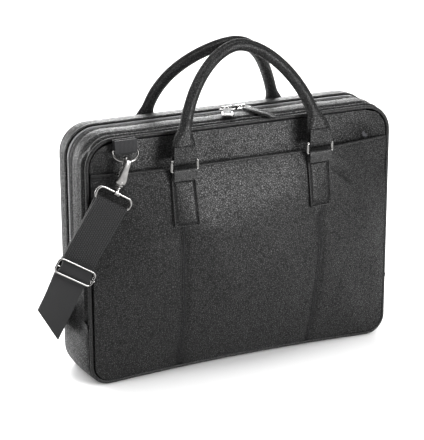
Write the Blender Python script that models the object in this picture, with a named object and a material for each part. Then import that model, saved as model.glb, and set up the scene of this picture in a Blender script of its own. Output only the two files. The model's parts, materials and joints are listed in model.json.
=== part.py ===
"""A slim leather briefcase with a zipped mouth, two handles and a shoulder strap.

Metres, +Z up, +X to the right seen from the front, the front towards -Y.
The origin is the centre of the base, on the surface that the bag stands on.
"""
from math import cos, pi, radians, sin

import bmesh
import bpy
from mathutils import Matrix, Vector

# The bag's shell
WIDTH = 0.400
HEIGHT = 0.300
DEPTH = 0.080
CORNER_RADIUS = 0.035
LEATHER = 0.0016
PIPING_RADIUS = 0.0022
FRONT_BULGE = 0.014
POCKET_BULGE = 0.035
REAR_BULGE = 0.008
BULGE_POWER_ACROSS = 2.5
BULGE_POWER_UP = 2.2
POCKET_DROP = 0.041
GAP = 0.0003
MERGE = 0.0004

# The zip, which runs over the top and down both sides to the lower gusset
ZIP_Y = 0.012
ZIP_END = 0.078
ZIP_OPENING = 0.016
TAPE_WIDTH = 0.013
TAPE_THICKNESS = 0.0008
TEETH_WIDTH = 0.0024
TEETH_THICKNESS = 0.0018
TEETH_GAP = 0.0016
SLIDER_LENGTH = 0.014
SLIDER_WIDTH = 0.011
SLIDER_PLATE = 0.0012
SLIDER_POST = 0.0008
SLIDER_POST_LENGTH = 0.0060
SLIDER_RUNNING_GAP = 0.0004
SLIDER_LIFT_GAP = 0.0016
LEFT_SLIDER_X = 0.004
RIGHT_SLIDER_X = 0.022
CROWN_HEIGHT = 0.0044
CROWN_BAR = 0.0012
CROWN_FOOT_INSET = 0.0020
PULL_LENGTH = 0.036
PULL_WIDTH = 0.014
PULL_LEATHER = 0.0012
LINK_WIRE = 0.0007
LINK_LENGTH = 0.0110
LINK_NECK_LENGTH = 0.0030
LINK_END = 0.0030
LINK_NECK_WIDTH = 0.0042
LINK_WIDTH = 0.0166
LINK_RISE = 0.0003
LINK_DROP = 0.0017
LEFT_PULL_TURN = -24
RIGHT_PULL_TURN = 11

# The inside
BOARD_THICKNESS = 0.0020
FOAM_THICKNESS = 0.0030
DIVIDER_THICKNESS = 0.0040
DIVIDER_DROP = 0.065
DIVIDER_STRAP_WIDTH = 0.025
DIVIDER_STRAP_THICKNESS = 0.002
SLEEVE_DEPTH = 0.018
ORGANISER_HEIGHT = 0.150
ORGANISER_DEPTH = 0.0060
ORGANISER_INSET = 0.010
LINING = 0.0012
INSIDE_CLEARANCE = 0.004

# Handles, their rectangular rings and the tabs that hold them
HANDLE_SPACING = 0.176
HANDLE_RADIUS = 0.0068
HANDLE_RISE = 0.117
HANDLE_POWER = 1.75
FOOT_HALF_WIDTH = 0.0145
FOOT_HALF_THICKNESS = 0.0034
FOOT_LENGTH = 0.010
FOOT_FLARE = 0.024
LEAN_POWER = {"front": 1.3, "rear": 2.6}
FRONT_APEX_Y = -0.0265
REAR_APEX_Y = -0.0110
RING_WIDTH = 0.036
RING_HEIGHT = 0.016
RING_WIRE = 0.0018
RING_FILLET = 0.0018
RING_LOOP_WIDTH = 0.028
RING_DROP = 0.036
TAB_WIDTH = 0.030
TAB_LENGTH = 0.055
TAB_DROP = 0.052
TAB_THICKNESS = 0.0034
RUNNING_CLEARANCE = 0.0004

# Shoulder strap and its fittings
STRAP_WIDTH = 0.042
STRAP_THICKNESS = 0.0014
WEBBING_WIDTH = 0.027
WEBBING_THICKNESS = 0.0014
D_RING_INSET = 0.0455
D_RING_WIDTH = 0.036
D_RING_DROP = 0.018
D_RING_WIRE = 0.0018
D_BAR_DROP = 0.014
LOOP_TOP_DROP = 0.002
D_TILT = 45
D_BAR_STAND_OFF = 0.0046
D_RING_NECK = 0.0035
HOOK_SLIDE = 9
HOOK_TILT = 20
HOOK_LENGTH = 0.034
HOOK_NOSE = 0.0050
HOOK_DEPTH = 0.013
HOOK_WIRE = 0.0021
HOOK_BASE_RADIUS = 0.0050
HOOK_BASE_HEIGHT = 0.0070
GATE_WIRE = 0.0016
GATE_INSET = 0.0006
GATE_BASE_GAP = 0.0011
EYE_RADIUS = 0.0048
EYE_WIRE = 0.0014
STRAP_RING_WIDTH = 0.050
STRAP_RING_HEIGHT = 0.018
STRAP_RING_WIRE = 0.0018
STRAP_RING_FILLET = 0.003
STRAP_TILT = 32
ADJUSTER_WIDTH = 0.050
ADJUSTER_HEIGHT = 0.017
ADJUSTER_THICKNESS = 0.0026
ADJUSTER_BAR = 0.0030
DOUBLED_LENGTH = 0.078
REAR_LOOP_LEG = 0.020
STRAP_TWIST = 0.35
RUN_LEAD = 0.022
RUN_LEAD_BACK = 0.008
END_LEAD = 0.050
END_LEAD_BACK = 0.006

# Where the strap passes the bag's left side: out from the side, y, and down from the adjuster
RUN_STOPS = ((0.026, -0.018, 0.066), (0.024, 0.008, 0.085))
FOLD_STOPS = ((0.020, 0.016, 0.096), (0.017, 0.038, 0.107))
# Behind the bag: in from the left or right side, out from the back, and height of the lower edge
LEFT_STOPS = ((-0.010, 0.012, 0.025), (0.080, 0.010, 0.009))
RIGHT_STOPS = ((0.070, 0.012, 0.001), (0.050, 0.022, 0.001), (0.075, 0.032, 0.001))
RETURN_STOPS = ((0.100, 0.030, 0.001), (0.080, 0.040, 0.001), (0.105, 0.050, 0.001))
END_STOPS = ((0.140, 0.050, 0.001), (0.080, 0.045, 0.005), (0.035, 0.036, 0.039))

HALF_WIDTH = WIDTH / 2
POCKET_TOP = HEIGHT - POCKET_DROP
DIVIDER_HEIGHT = HEIGHT - DIVIDER_DROP
RING_CENTRE_Z = HEIGHT - RING_DROP
TAB_TOP = HEIGHT - TAB_DROP
TAB_BOTTOM = TAB_TOP - TAB_LENGTH
D_RING_X = HALF_WIDTH - D_RING_INSET
D_BAR_Z = HEIGHT - D_BAR_DROP
FRONT_Y = -DEPTH / 2
REAR_Y = DEPTH / 2
PIPING_INSET = PIPING_RADIUS + GAP
PANEL_INSET = 2 * PIPING_RADIUS + 2 * GAP
BAND_FRONT_EDGE = FRONT_Y + PIPING_RADIUS + GAP
BAND_REAR_EDGE = REAR_Y - PIPING_RADIUS - GAP


# ---------------------------------------------------------------- helpers
def clear_scene():
    for thing in list(bpy.data.objects):
        bpy.data.objects.remove(thing, do_unlink=True)


def material(name, colour, roughness, metallic=0.0):
    made = bpy.data.materials.new(name)
    made.use_nodes = True
    shader = made.node_tree.nodes["Principled BSDF"]
    shader.inputs["Base Color"].default_value = (*colour, 1.0)
    shader.inputs["Roughness"].default_value = roughness
    shader.inputs["Metallic"].default_value = metallic
    return made


def finish(name, bm, look, origin=(0, 0, 0), smooth=True):
    """Turn a bmesh in world coordinates into an object whose origin is at the given point."""
    bmesh.ops.recalc_face_normals(bm, faces=bm.faces)
    bmesh.ops.translate(bm, verts=bm.verts, vec=-Vector(origin))
    mesh = bpy.data.meshes.new(name)
    bm.to_mesh(mesh)
    bm.free()
    mesh.materials.append(look)
    if smooth:
        mesh.shade_smooth()
        mesh.set_sharp_from_angle(angle=radians(40))
    made = bpy.data.objects.new(name, mesh)
    bpy.context.collection.objects.link(made)
    made.location = origin
    return made


def skin(bm, rings, closed):
    """Join rings of points, each with the same number of points, into one closed body."""
    made = [[bm.verts.new(point) for point in ring] for ring in rings]
    count = len(made[0])
    pairs = list(zip(made, made[1:]))
    if closed:
        pairs.append((made[-1], made[0]))
    for first, second in pairs:
        for i in range(count):
            j = (i + 1) % count
            bm.faces.new((first[i], first[j], second[j], second[i]))
    if not closed:
        bm.faces.new(made[0][::-1])
        bm.faces.new(made[-1])
    return bm


def arc(centre, radius, start, end, steps):
    """Points of an arc in a plane, each with its outward direction."""
    found = []
    for i in range(steps + 1):
        angle = radians(start + (end - start) * i / steps)
        way = (cos(angle), sin(angle))
        found.append(((centre[0] + radius * way[0], centre[1] + radius * way[1]), way))
    return found


# ------------------------------------------------------- the bag's outline
def corner(right, top, inset, steps=6):
    x = (HALF_WIDTH - CORNER_RADIUS) * (1 if right else -1)
    z = HEIGHT - CORNER_RADIUS if top else CORNER_RADIUS
    start = {(True, True): 0, (False, True): 90, (False, False): 180, (True, False): 270}[right, top]
    return arc((x, z), CORNER_RADIUS - inset, start, start + 90, steps)


def loop_path(inset):
    return (
        corner(True, True, inset)
        + corner(False, True, inset)
        + corner(False, False, inset)
        + corner(True, False, inset)
    )


def upper_path(inset, end=ZIP_END):
    side = HALF_WIDTH - inset
    arch = corner(True, True, inset) + corner(False, True, inset)
    return [((side, end), (1, 0)), *arch, ((-side, end), (-1, 0))]


def lower_path(inset, end=ZIP_END - GAP):
    side = HALF_WIDTH - inset
    bottom = corner(False, False, inset) + corner(True, False, inset)
    return [((-side, end), (-1, 0)), *bottom, ((side, end), (1, 0))]


def sweep(name, path, profile, look, closed=False, smooth=True):
    """Carry a profile of (outward, y) points along a path in the plane of the bag's outline."""
    rings = []
    for (x, z), (out_x, out_z) in path:
        rings.append([(x + out_x * out, y, z + out_z * out) for out, y in profile])
    return finish(name, skin(bmesh.new(), rings, closed), look, smooth=smooth)


def band(name, path, front, rear, outside, thickness, look):
    profile = [(-outside, front), (-outside, rear), (-outside - thickness, rear)]
    profile.append((-outside - thickness, front))
    return sweep(name, path, profile, look)


def round_profile(y, radius, sides=8):
    return [
        (radius * cos(2 * pi * i / sides), y + radius * sin(2 * pi * i / sides)) for i in range(sides)
    ]


def bulge(x, z, amount):
    across = 1 - min(abs(2 * x / WIDTH), 1) ** BULGE_POWER_ACROSS
    up = 1 - min(abs(2 * z / HEIGHT - 1), 1) ** BULGE_POWER_UP
    return amount * across * up


def pocket_y(x, z):
    """The front face of the pocket panel."""
    return FRONT_Y - LEATHER - GAP - bulge(x, z, POCKET_BULGE)


def front_y(x, z):
    """The front face of the front panel, behind the pocket panel."""
    return FRONT_Y - bulge(x, z, FRONT_BULGE)


def rear_y(x, z):
    return REAR_Y + bulge(x, z, REAR_BULGE)


# ------------------------------------------------------------ slabs of leather
def rows(inset, top=None, corner_steps=4, middle_steps=6):
    """Heights of a panel's rows, each with the outline's half width there."""
    radius = CORNER_RADIUS - inset
    straight = HALF_WIDTH - CORNER_RADIUS
    found = []
    for i in range(corner_steps):
        angle = radians(90 * i / corner_steps)
        found.append((CORNER_RADIUS - radius * cos(angle), straight + radius * sin(angle)))
    last = HEIGHT - CORNER_RADIUS if top is None else top
    for i in range(middle_steps + 1):
        found.append((CORNER_RADIUS + (last - CORNER_RADIUS) * i / middle_steps, HALF_WIDTH - inset))
    if top is None:
        for i in range(1, corner_steps + 1):
            angle = radians(90 * i / corner_steps)
            found.append((last + radius * sin(angle), straight + radius * cos(angle)))
    return found


def raised(surface, offset):
    """The same surface moved along Y."""

    def moved(x, z):
        return surface(x, z) + offset

    return moved


def slab(name, lines, near, far, look, columns=10, origin=(0, 0, 0)):
    """A closed sheet between two surfaces y(x, z); lines are (z, lowest x, highest x)."""
    bm = bmesh.new()
    sides = []
    for surface in (near, far):
        sheet = []
        for z, low, high in lines:
            xs = [low + (high - low) * i / columns for i in range(columns + 1)]
            sheet.append([bm.verts.new((x, surface(x, z), z)) for x in xs])
        sides.append(sheet)
    for sheet in sides:
        for below, above in zip(sheet, sheet[1:]):
            for i in range(columns):
                bm.faces.new((below[i], below[i + 1], above[i + 1], above[i]))
    rims = []
    for sheet in sides:
        right = [line[-1] for line in sheet[1:-1]]
        left = [line[0] for line in sheet[1:-1]]
        rims.append([*sheet[0], *right, *sheet[-1][::-1], *left[::-1]])
    for i in range(len(rims[0])):
        j = (i + 1) % len(rims[0])
        bm.faces.new((rims[0][i], rims[0][j], rims[1][j], rims[1][i]))
    return finish(name, bm, look, origin)


def panel(name, inset, surface, thickness, look, top=None):
    """A leather panel inside the outline; the thickness is signed along Y, towards the inside."""
    lines = [(z, -half, half) for z, half in rows(inset, top)]
    return slab(name, lines, surface, raised(surface, thickness), look)


def flat_panel(name, inset, y, thickness, top, look):
    lines = [(z, -half, half) for z, half in rows(inset, top, corner_steps=3, middle_steps=1)]

    def near(x, z):
        return y

    return slab(name, lines, near, raised(near, thickness), look, columns=1)


def block(bm, low, high):
    made = bmesh.ops.create_cube(bm, size=1.0)["verts"]
    size = [b - a for a, b in zip(low, high)]
    middle = [(a + b) / 2 for a, b in zip(low, high)]
    bmesh.ops.scale(bm, verts=made, vec=size)
    bmesh.ops.translate(bm, verts=made, vec=middle)
    return bm


def box(name, low, high, look, origin=(0, 0, 0)):
    return finish(name, block(bmesh.new(), low, high), look, origin, smooth=False)


# ------------------------------------------------------------ wires and ribbons
def tube(name, centres, radius, look, closed=True, sides=8, across=None, origin=(0, 0, 0)):
    """A round wire along a flat path; across is the direction square to the path's plane."""
    count = len(centres)
    rings = []
    for i, centre in enumerate(centres):
        after = centres[(i + 1) % count] if closed or i + 1 < count else centre
        before = centres[i - 1] if closed or i > 0 else centre
        out = (after - before).normalized().cross(across)
        ring = []
        for k in range(sides):
            angle = 2 * pi * k / sides
            ring.append(centre + out * radius * cos(angle) + across * radius * sin(angle))
        rings.append(ring)
    return finish(name, skin(bmesh.new(), rings, closed), look, origin)


def ribbon(name, centres, widths, width, thickness, look, origin=(0, 0, 0)):
    """A flat strip through the given centres; widths holds the direction across it at each."""
    count = len(centres)
    rings = []
    for i, (centre, across) in enumerate(zip(centres, widths)):
        along = centres[min(i + 1, count - 1)] - centres[max(i - 1, 0)]
        normal = along.cross(across).normalized()
        side = across.normalized() * width / 2
        rise = normal * thickness / 2
        top = [centre + side + rise, centre - side + rise]
        rings.append([*top, centre - side - rise, centre + side - rise])
    return finish(name, skin(bmesh.new(), rings, False), look, origin)


def hairpin(bar, leg, down, away, radius, steps=8):
    """Centres of a strip that comes up one side of a bar, round it and down again."""
    found = [bar + down * leg + away * radius]
    for i in range(steps + 1):
        angle = pi * i / steps
        found.append(bar + away * radius * cos(angle) - down * radius * sin(angle))
    found.append(bar + down * leg - away * radius)
    return found


def rectangle(centre, wide, high, width, height, fillet, steps=3):
    """Centres of a rectangular ring with round corners."""
    found = []
    for sign_w, sign_h, start in ((1, 1, 0), (-1, 1, 90), (-1, -1, 180), (1, -1, 270)):
        middle_w = sign_w * (width / 2 - fillet)
        middle_h = sign_h * (height / 2 - fillet)
        for (w, h), _ in arc((middle_w, middle_h), fillet, start, start + 90, steps):
            found.append(centre + wide * w + high * h)
    return found


X = Vector((1, 0, 0))
Y = Vector((0, 1, 0))
Z = Vector((0, 0, 1))


# ------------------------------------------------------------------ the shell
def make_shell(looks):
    leather = looks["leather"]
    panel("front_panel", PANEL_INSET, front_y, LEATHER, leather)
    panel("front_pocket_panel", PANEL_INSET, pocket_y, LEATHER, leather, top=POCKET_TOP)
    panel("rear_panel", PANEL_INSET, rear_y, -LEATHER, leather)
    for name, y in (("front_piping", FRONT_Y), ("rear_piping", REAR_Y)):
        profile = round_profile(y, PIPING_RADIUS, 6)
        sweep(name, loop_path(PIPING_INSET), profile, looks["piping"], closed=True)
    band("front_gusset", upper_path(0), BAND_FRONT_EDGE, ZIP_Y - ZIP_OPENING / 2, 0, LEATHER, leather)
    band("rear_gusset", upper_path(0), ZIP_Y + ZIP_OPENING / 2, BAND_REAR_EDGE, 0, LEATHER, leather)
    band("lower_gusset", lower_path(0), BAND_FRONT_EDGE, BAND_REAR_EDGE, 0, LEATHER, leather)


def make_zip(looks):
    depth = LEATHER + GAP
    for name, side in (("front", -1), ("rear", 1)):
        inner = ZIP_Y + side * (TEETH_GAP / 2 + TEETH_WIDTH + GAP)
        outer = inner + side * TAPE_WIDTH
        band(f"zip_tape_{name}", upper_path(0), inner, outer, depth, TAPE_THICKNESS, looks["tape"])
        teeth = (ZIP_Y + side * TEETH_GAP / 2, ZIP_Y + side * (TEETH_GAP / 2 + TEETH_WIDTH))
        top = depth - TEETH_THICKNESS / 2
        band(f"zip_teeth_{name}", upper_path(0), *teeth, top, TEETH_THICKNESS, looks["metal"])
    teeth_top = HEIGHT - depth + TEETH_THICKNESS / 2
    teeth_bottom = teeth_top - TEETH_THICKNESS
    crown_z = teeth_top + SLIDER_RUNNING_GAP + SLIDER_PLATE + CROWN_HEIGHT - CROWN_BAR / 2
    pulls = (("left", LEFT_SLIDER_X, LEFT_PULL_TURN), ("right", RIGHT_SLIDER_X, RIGHT_PULL_TURN))
    for name, x, turn in pulls:
        make_slider(name, x, teeth_top, teeth_bottom, looks)
        make_pull(name, Vector((x, ZIP_Y, crown_z)), turn, looks)


def make_slider(name, x, teeth_top, teeth_bottom, looks):
    half = SLIDER_LENGTH / 2
    low_y = ZIP_Y - SLIDER_WIDTH / 2
    high_y = ZIP_Y + SLIDER_WIDTH / 2
    plate = teeth_top + SLIDER_RUNNING_GAP
    floor = teeth_bottom - SLIDER_LIFT_GAP
    crown = plate + SLIDER_PLATE
    feet = half - CROWN_FOOT_INSET
    blocks = [
        ((x - half, low_y, plate), (x + half, high_y, crown)),
        ((x - half, low_y, floor - SLIDER_PLATE), (x + half, high_y, floor)),
    ]
    low = (x - SLIDER_POST_LENGTH / 2, ZIP_Y - SLIDER_POST / 2, floor - MERGE)
    blocks.append((low, (x + SLIDER_POST_LENGTH / 2, ZIP_Y + SLIDER_POST / 2, plate + MERGE)))
    for side in (-1, 1):
        low = (x + side * feet - CROWN_BAR, ZIP_Y - CROWN_BAR, crown - MERGE)
        blocks.append((low, (x + side * feet + CROWN_BAR, ZIP_Y + CROWN_BAR, crown + CROWN_HEIGHT)))
    bar = crown + CROWN_HEIGHT - CROWN_BAR
    low = (x - feet - CROWN_BAR / 2, ZIP_Y - CROWN_BAR / 2, bar)
    blocks.append((low, (x + feet + CROWN_BAR / 2, ZIP_Y + CROWN_BAR / 2, bar + CROWN_BAR - MERGE / 2)))
    united(f"slider_{name}", blocks, looks["metal"], (x, ZIP_Y, plate))


def united(name, blocks, look, origin):
    """Several overlapping blocks joined into one body."""
    made = box(name, *blocks[0], look, origin)
    pieces = [box(f"{name}_piece_{i}", *ends, look) for i, ends in enumerate(blocks[1:])]
    return unite(made, pieces)


def unite(made, pieces):
    """Join overlapping closed pieces into the first one."""
    for i, piece in enumerate(pieces):
        join = made.modifiers.new(f"join_{i}", "BOOLEAN")
        join.operation = "UNION"
        join.object = piece
    bpy.context.view_layer.update()
    seen = made.evaluated_get(bpy.context.evaluated_depsgraph_get())
    mesh = bpy.data.meshes.new_from_object(seen)
    made.modifiers.clear()
    made.data = mesh
    for piece in pieces:
        bpy.data.objects.remove(piece, do_unlink=True)
    return made


def make_pull(name, crown, turn, looks):
    """A wire link through the slider's crown with a folded leather pull, lying towards the front."""
    ahead = Matrix.Rotation(radians(turn), 3, "Z") @ Vector((0, -1, 0))
    across = Matrix.Rotation(radians(turn), 3, "Z") @ X
    behind = CROWN_BAR / 2 + LINK_WIRE + RUNNING_CLEARANCE
    half_neck = LINK_NECK_WIDTH / 2
    half = LINK_WIDTH / 2
    outline = [(half_neck, -behind), (half_neck, LINK_NECK_LENGTH), (half, LINK_LENGTH - LINK_END)]
    outline.append((half, LINK_LENGTH))
    outline += [(-wide, long) for wide, long in outline[::-1]]
    root = crown - Z * LINK_DROP
    slope = LINK_RISE / LINK_LENGTH
    path = [root + across * wide + ahead * long + Z * slope * max(long, 0) for wide, long in outline]
    square = (ahead + Z * slope).cross(across).normalized()
    tube(f"pull_link_{name}", path, LINK_WIRE, looks["metal"], True, 6, square, crown)
    bar = root + ahead * LINK_LENGTH + Z * LINK_RISE
    radius = LINK_WIRE + RUNNING_CLEARANCE + PULL_LEATHER / 2
    path = hairpin(bar, PULL_LENGTH, ahead, Z, radius, 6)
    ribbon(f"pull_{name}", path, [across] * len(path), PULL_WIDTH, PULL_LEATHER, looks["leather"], crown)


def grid_frame(bm, xs, ys, holes, thickness):
    """A flat plate in the XY plane with some of its cells left open."""
    points = {}
    for level in (-thickness / 2, thickness / 2):
        for i, x in enumerate(xs):
            for j, y in enumerate(ys):
                points[i, j, level] = bm.verts.new((x, y, level))
    cells = {(i, j) for i in range(len(xs) - 1) for j in range(len(ys) - 1)} - set(holes)
    low, high = -thickness / 2, thickness / 2
    for i, j in cells:
        for level in (low, high):
            ring = [(i, j), (i + 1, j), (i + 1, j + 1), (i, j + 1)]
            bm.faces.new([points[a, b, level] for a, b in ring])
        sides = {
            (i - 1, j): ((i, j), (i, j + 1)),
            (i + 1, j): ((i + 1, j), (i + 1, j + 1)),
            (i, j - 1): ((i, j), (i + 1, j)),
            (i, j + 1): ((i, j + 1), (i + 1, j + 1)),
        }
        for beside, (a, b) in sides.items():
            if beside not in cells:
                bm.faces.new((points[*a, low], points[*b, low], points[*b, high], points[*a, high]))
    loose = [vert for vert in bm.verts if not vert.link_faces]
    bmesh.ops.delete(bm, geom=loose, context="VERTS")
    return bm


# ------------------------------------------------------------------ the inside
def make_inside(looks):
    lining = looks["lining"]
    clear = LEATHER + INSIDE_CLEARANCE
    floor_half = HALF_WIDTH - CORNER_RADIUS
    low = (-floor_half, BAND_FRONT_EDGE + clear, LEATHER + GAP)
    board = LEATHER + GAP + BOARD_THICKNESS
    box("base_board", low, (floor_half, BAND_REAR_EDGE - clear, board), looks["board"])
    inset = LEATHER + TAPE_THICKNESS + INSIDE_CLEARANCE
    front = FRONT_Y + LEATHER + GAP
    flat_panel("front_padding", inset, front, FOAM_THICKNESS, None, lining)
    rear = REAR_Y - LEATHER - GAP - FOAM_THICKNESS
    flat_panel("rear_padding", inset, rear, FOAM_THICKNESS, None, lining)
    divider = rear - SLEEVE_DEPTH - DIVIDER_THICKNESS
    flat_panel("laptop_divider", inset, divider, DIVIDER_THICKNESS, DIVIDER_HEIGHT, lining)
    pocket = front + FOAM_THICKNESS + ORGANISER_DEPTH
    flat_panel("organiser_pocket", inset + ORGANISER_INSET, pocket, LINING, ORGANISER_HEIGHT, lining)
    half = DIVIDER_STRAP_WIDTH / 2
    low = (-half, divider + DIVIDER_THICKNESS / 4, DIVIDER_HEIGHT + GAP)
    high = (half, rear - GAP, DIVIDER_HEIGHT + GAP + DIVIDER_STRAP_THICKNESS)
    box("divider_strap", low, high, looks["webbing"])


# ------------------------------------------------------------------ the handles
def handle_mount_y(side):
    """Where the rings' lower bars sit, clear of the panel that their loops lie on."""
    nearest = HANDLE_SPACING / 2 - TAB_WIDTH / 2
    reach = 2 * LEATHER + RING_WIRE + RUNNING_CLEARANCE + GAP
    face = pocket_y(nearest, TAB_TOP) if side < 0 else rear_y(nearest, TAB_TOP)
    return face + side * reach


def make_handles(looks):
    for name, side, apex in (("front", -1, FRONT_APEX_Y), ("rear", 1, REAR_APEX_Y)):
        y = handle_mount_y(side)
        face = pocket_y if side < 0 else rear_y
        low_bar = RING_CENTRE_Z - RING_HEIGHT / 2 + RING_WIRE
        high_bar = RING_CENTRE_Z + RING_HEIGHT / 2 - RING_WIRE
        radius = RING_WIRE + RUNNING_CLEARANCE + LEATHER / 2
        for hand, x in (("left", -HANDLE_SPACING / 2), ("right", HANDLE_SPACING / 2)):
            label = f"{name}_{hand}"
            half = TAB_WIDTH / 2
            lines = []
            for i in range(6):
                lines.append((TAB_BOTTOM + (TAB_TOP - TAB_BOTTOM) * i / 5, x - half, x + half))
            far = raised(face, side * GAP)
            near = raised(face, side * (GAP + TAB_THICKNESS))
            slab(f"handle_tab_{label}", lines, near, far, looks["leather"], columns=6)
            bar = Vector((x, y, low_bar))
            leg = low_bar - TAB_TOP - GAP
            path = hairpin(bar, leg, -Z, Y * side, radius)
            wide = [X] * len(path)
            ribbon(f"ring_loop_{label}", path, wide, RING_LOOP_WIDTH, LEATHER, looks["leather"], bar)
            middle = Vector((x, y, RING_CENTRE_Z))
            size = (RING_WIDTH - 2 * RING_WIRE, RING_HEIGHT - 2 * RING_WIRE)
            path = rectangle(middle, X, Z, *size, RING_FILLET, 2)
            tube(f"handle_ring_{label}", path, RING_WIRE, looks["metal"], True, 8, Y, bar)
        make_handle(name, Vector((0, y, high_bar)), apex, radius, looks)


def make_handle(name, hang, apex, radius, looks):
    """A round grip whose ends are flattened and folded round the rings' upper bars."""
    leg = radius + LEATHER / 2 + 2 * GAP
    power = LEAN_POWER[name]
    for hand, sign in (("left", -1), ("right", 1)):
        bar = hang + X * sign * HANDLE_SPACING / 2
        path = hairpin(bar, leg, Z, Y, radius)
        label = f"handle_loop_{name}_{hand}"
        ribbon(label, path, [X] * len(path), RING_LOOP_WIDTH, LEATHER, looks["leather"], hang)
    centres = []
    steps = 36
    start = leg + GAP
    for i in range(steps + 1):
        angle = pi * i / steps
        along = HANDLE_SPACING / 2 * abs(cos(angle)) ** (2 / HANDLE_POWER)
        up = start + (HANDLE_RISE - start) * abs(sin(angle)) ** (2 / HANDLE_POWER)
        back = (apex - hang.y) * (up / HANDLE_RISE) ** power
        centres.append(hang + Vector((along * (1 if angle < pi / 2 else -1), back, up)))
    rings = []
    for i, centre in enumerate(centres):
        along = (centres[min(i + 1, steps)] - centres[max(i - 1, 0)]).normalized()
        along = {0: Z, steps: -Z}.get(i, along)
        square = Y - along * along.y
        square.normalize()
        out = along.cross(square)
        share = min(max((centre.z - hang.z - start - FOOT_LENGTH) / FOOT_FLARE, 0), 1)
        share = share * share * (3 - 2 * share)
        wide = FOOT_HALF_WIDTH + (HANDLE_RADIUS - FOOT_HALF_WIDTH) * share
        thick = FOOT_HALF_THICKNESS + (HANDLE_RADIUS - FOOT_HALF_THICKNESS) * share
        ring = []
        for k in range(10):
            angle = 2 * pi * k / 10
            ring.append(centre + out * wide * cos(angle) + square * thick * sin(angle))
        rings.append(ring)
    finish(f"handle_{name}", skin(bmesh.new(), rings, False), looks["leather"], hang)


# --------------------------------------------------- shoulder strap and fittings
def make_fittings(name, side, x, looks):
    """A D-ring in its webbing loop, and the snap hook and ring that hang from it."""
    metal = looks["metal"]
    radius = D_RING_WIRE + RUNNING_CLEARANCE + WEBBING_THICKNESS / 2
    face = FRONT_Y if side < 0 else REAR_Y
    bar_y = face + side * (PIPING_RADIUS + GAP + radius + WEBBING_THICKNESS / 2 + D_BAR_STAND_OFF)
    bar = Vector((x, bar_y, D_BAR_Z))
    path = hairpin(bar, D_BAR_DROP - LOOP_TOP_DROP, Z, Y * side, radius)
    widths = [X] * len(path)
    ribbon(f"d_ring_loop_{name}", path, widths, WEBBING_WIDTH, WEBBING_THICKNESS, looks["webbing"], bar)
    down = Vector((0, side * sin(radians(D_TILT)), -cos(radians(D_TILT))))
    half = D_RING_WIDTH / 2 - D_RING_WIRE
    drop = D_RING_DROP - 2 * D_RING_WIRE
    path = [bar + X * half, bar - X * half]
    for i in range(13):
        angle = pi * i / 12
        path.append(bar - X * half * cos(angle) + down * (D_RING_NECK + (drop - D_RING_NECK) * sin(angle)))
    tube(f"d_ring_{name}", path, D_RING_WIRE, metal, True, 8, down.cross(X), bar)

    # the hook hangs a little to the outside of the D-ring's lowest point
    outwards = 1 if x < 0 else -1
    slide = radians(HOOK_SLIDE)
    low = bar + down * (D_RING_NECK + (drop - D_RING_NECK) * cos(slide)) - X * outwards * half * sin(slide)
    tilt = radians(HOOK_TILT) * outwards
    fall = Vector((-sin(tilt), 0, -cos(tilt)))
    back = Y * -side
    bow = HOOK_DEPTH / 2 - HOOK_WIRE
    reach = D_RING_WIRE + RUNNING_CLEARANCE + HOOK_WIRE
    top = low - fall * reach
    middle = top + fall * bow
    end = top + fall * (HOOK_LENGTH - HOOK_BASE_HEIGHT)
    path = [end - back * bow, middle + fall * bow - back * bow]
    for i in range(9):
        angle = pi * i / 8
        path.append(middle - back * bow * cos(angle) - fall * bow * sin(angle))
    tip = middle + back * bow + fall * HOOK_NOSE
    path.append(tip)
    axis = fall.cross(back).normalized()
    hook = tube(f"hook_{name}", path, HOOK_WIRE, metal, False, 8, axis, top)
    ends = [end - fall * MERGE, end + fall * HOOK_BASE_HEIGHT]
    base = post(f"hook_base_{name}", ends, HOOK_BASE_RADIUS, metal, top)
    unite(hook, [base])
    pivot = end + back * (bow - GATE_INSET) - fall * GATE_BASE_GAP
    post(f"gate_{name}", [pivot, tip + fall * (GAP * 2)], GATE_WIRE, metal, pivot)
    stem = end + fall * (HOOK_BASE_HEIGHT + GAP)
    eye = stem + fall * (EYE_RADIUS + EYE_WIRE)
    path = []
    for i in range(12):
        angle = 2 * pi * i / 12
        path.append(eye + back * EYE_RADIUS * cos(angle) + fall * EYE_RADIUS * sin(angle))
    tube(f"swivel_eye_{name}", path, EYE_WIRE, metal, True, 8, axis, stem)
    lean = radians(STRAP_TILT) * outwards
    run = Vector((-sin(lean), 0, -cos(lean)))
    wide = Vector((cos(lean), 0, -sin(lean)))
    size = (STRAP_RING_WIDTH - 2 * STRAP_RING_WIRE, STRAP_RING_HEIGHT - 2 * STRAP_RING_WIRE)
    bar_in_eye = eye + fall * (EYE_RADIUS - EYE_WIRE - STRAP_RING_WIRE - RUNNING_CLEARANCE)
    middle = bar_in_eye + run * size[1] / 2
    path = rectangle(middle, wide, run, *size, STRAP_RING_FILLET, 2)
    tube(f"strap_ring_{name}", path, STRAP_RING_WIRE, metal, True, 8, run.cross(wide), eye)
    return middle + run * size[1] / 2, run, wide


def post(name, ends, radius, look, origin):
    """A short straight rod."""
    along = (ends[1] - ends[0]).normalized()
    out = along.orthogonal().normalized()
    other = along.cross(out)
    rings = []
    for end in ends:
        ring = [2 * pi * k / 10 for k in range(10)]
        rings.append([end + (out * cos(a) + other * sin(a)) * radius for a in ring])
    return finish(name, skin(bmesh.new(), rings, False), look, origin)


def smooth_points(points, steps=5):
    """A smooth curve through the points (Catmull-Rom)."""
    padded = [2 * points[0] - points[1], *points, 2 * points[-1] - points[-2]]
    found = []
    for a, b, c, d in zip(padded, padded[1:], padded[2:], padded[3:]):
        for i in range(steps):
            t = i / steps
            bend = (2 * a - 5 * b + 4 * c - d) * t * t
            found.append((2 * b + (c - a) * t + bend + (3 * b - a - 3 * c + d) * t**3) / 2)
    found.append(points[-1])
    return found


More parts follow.
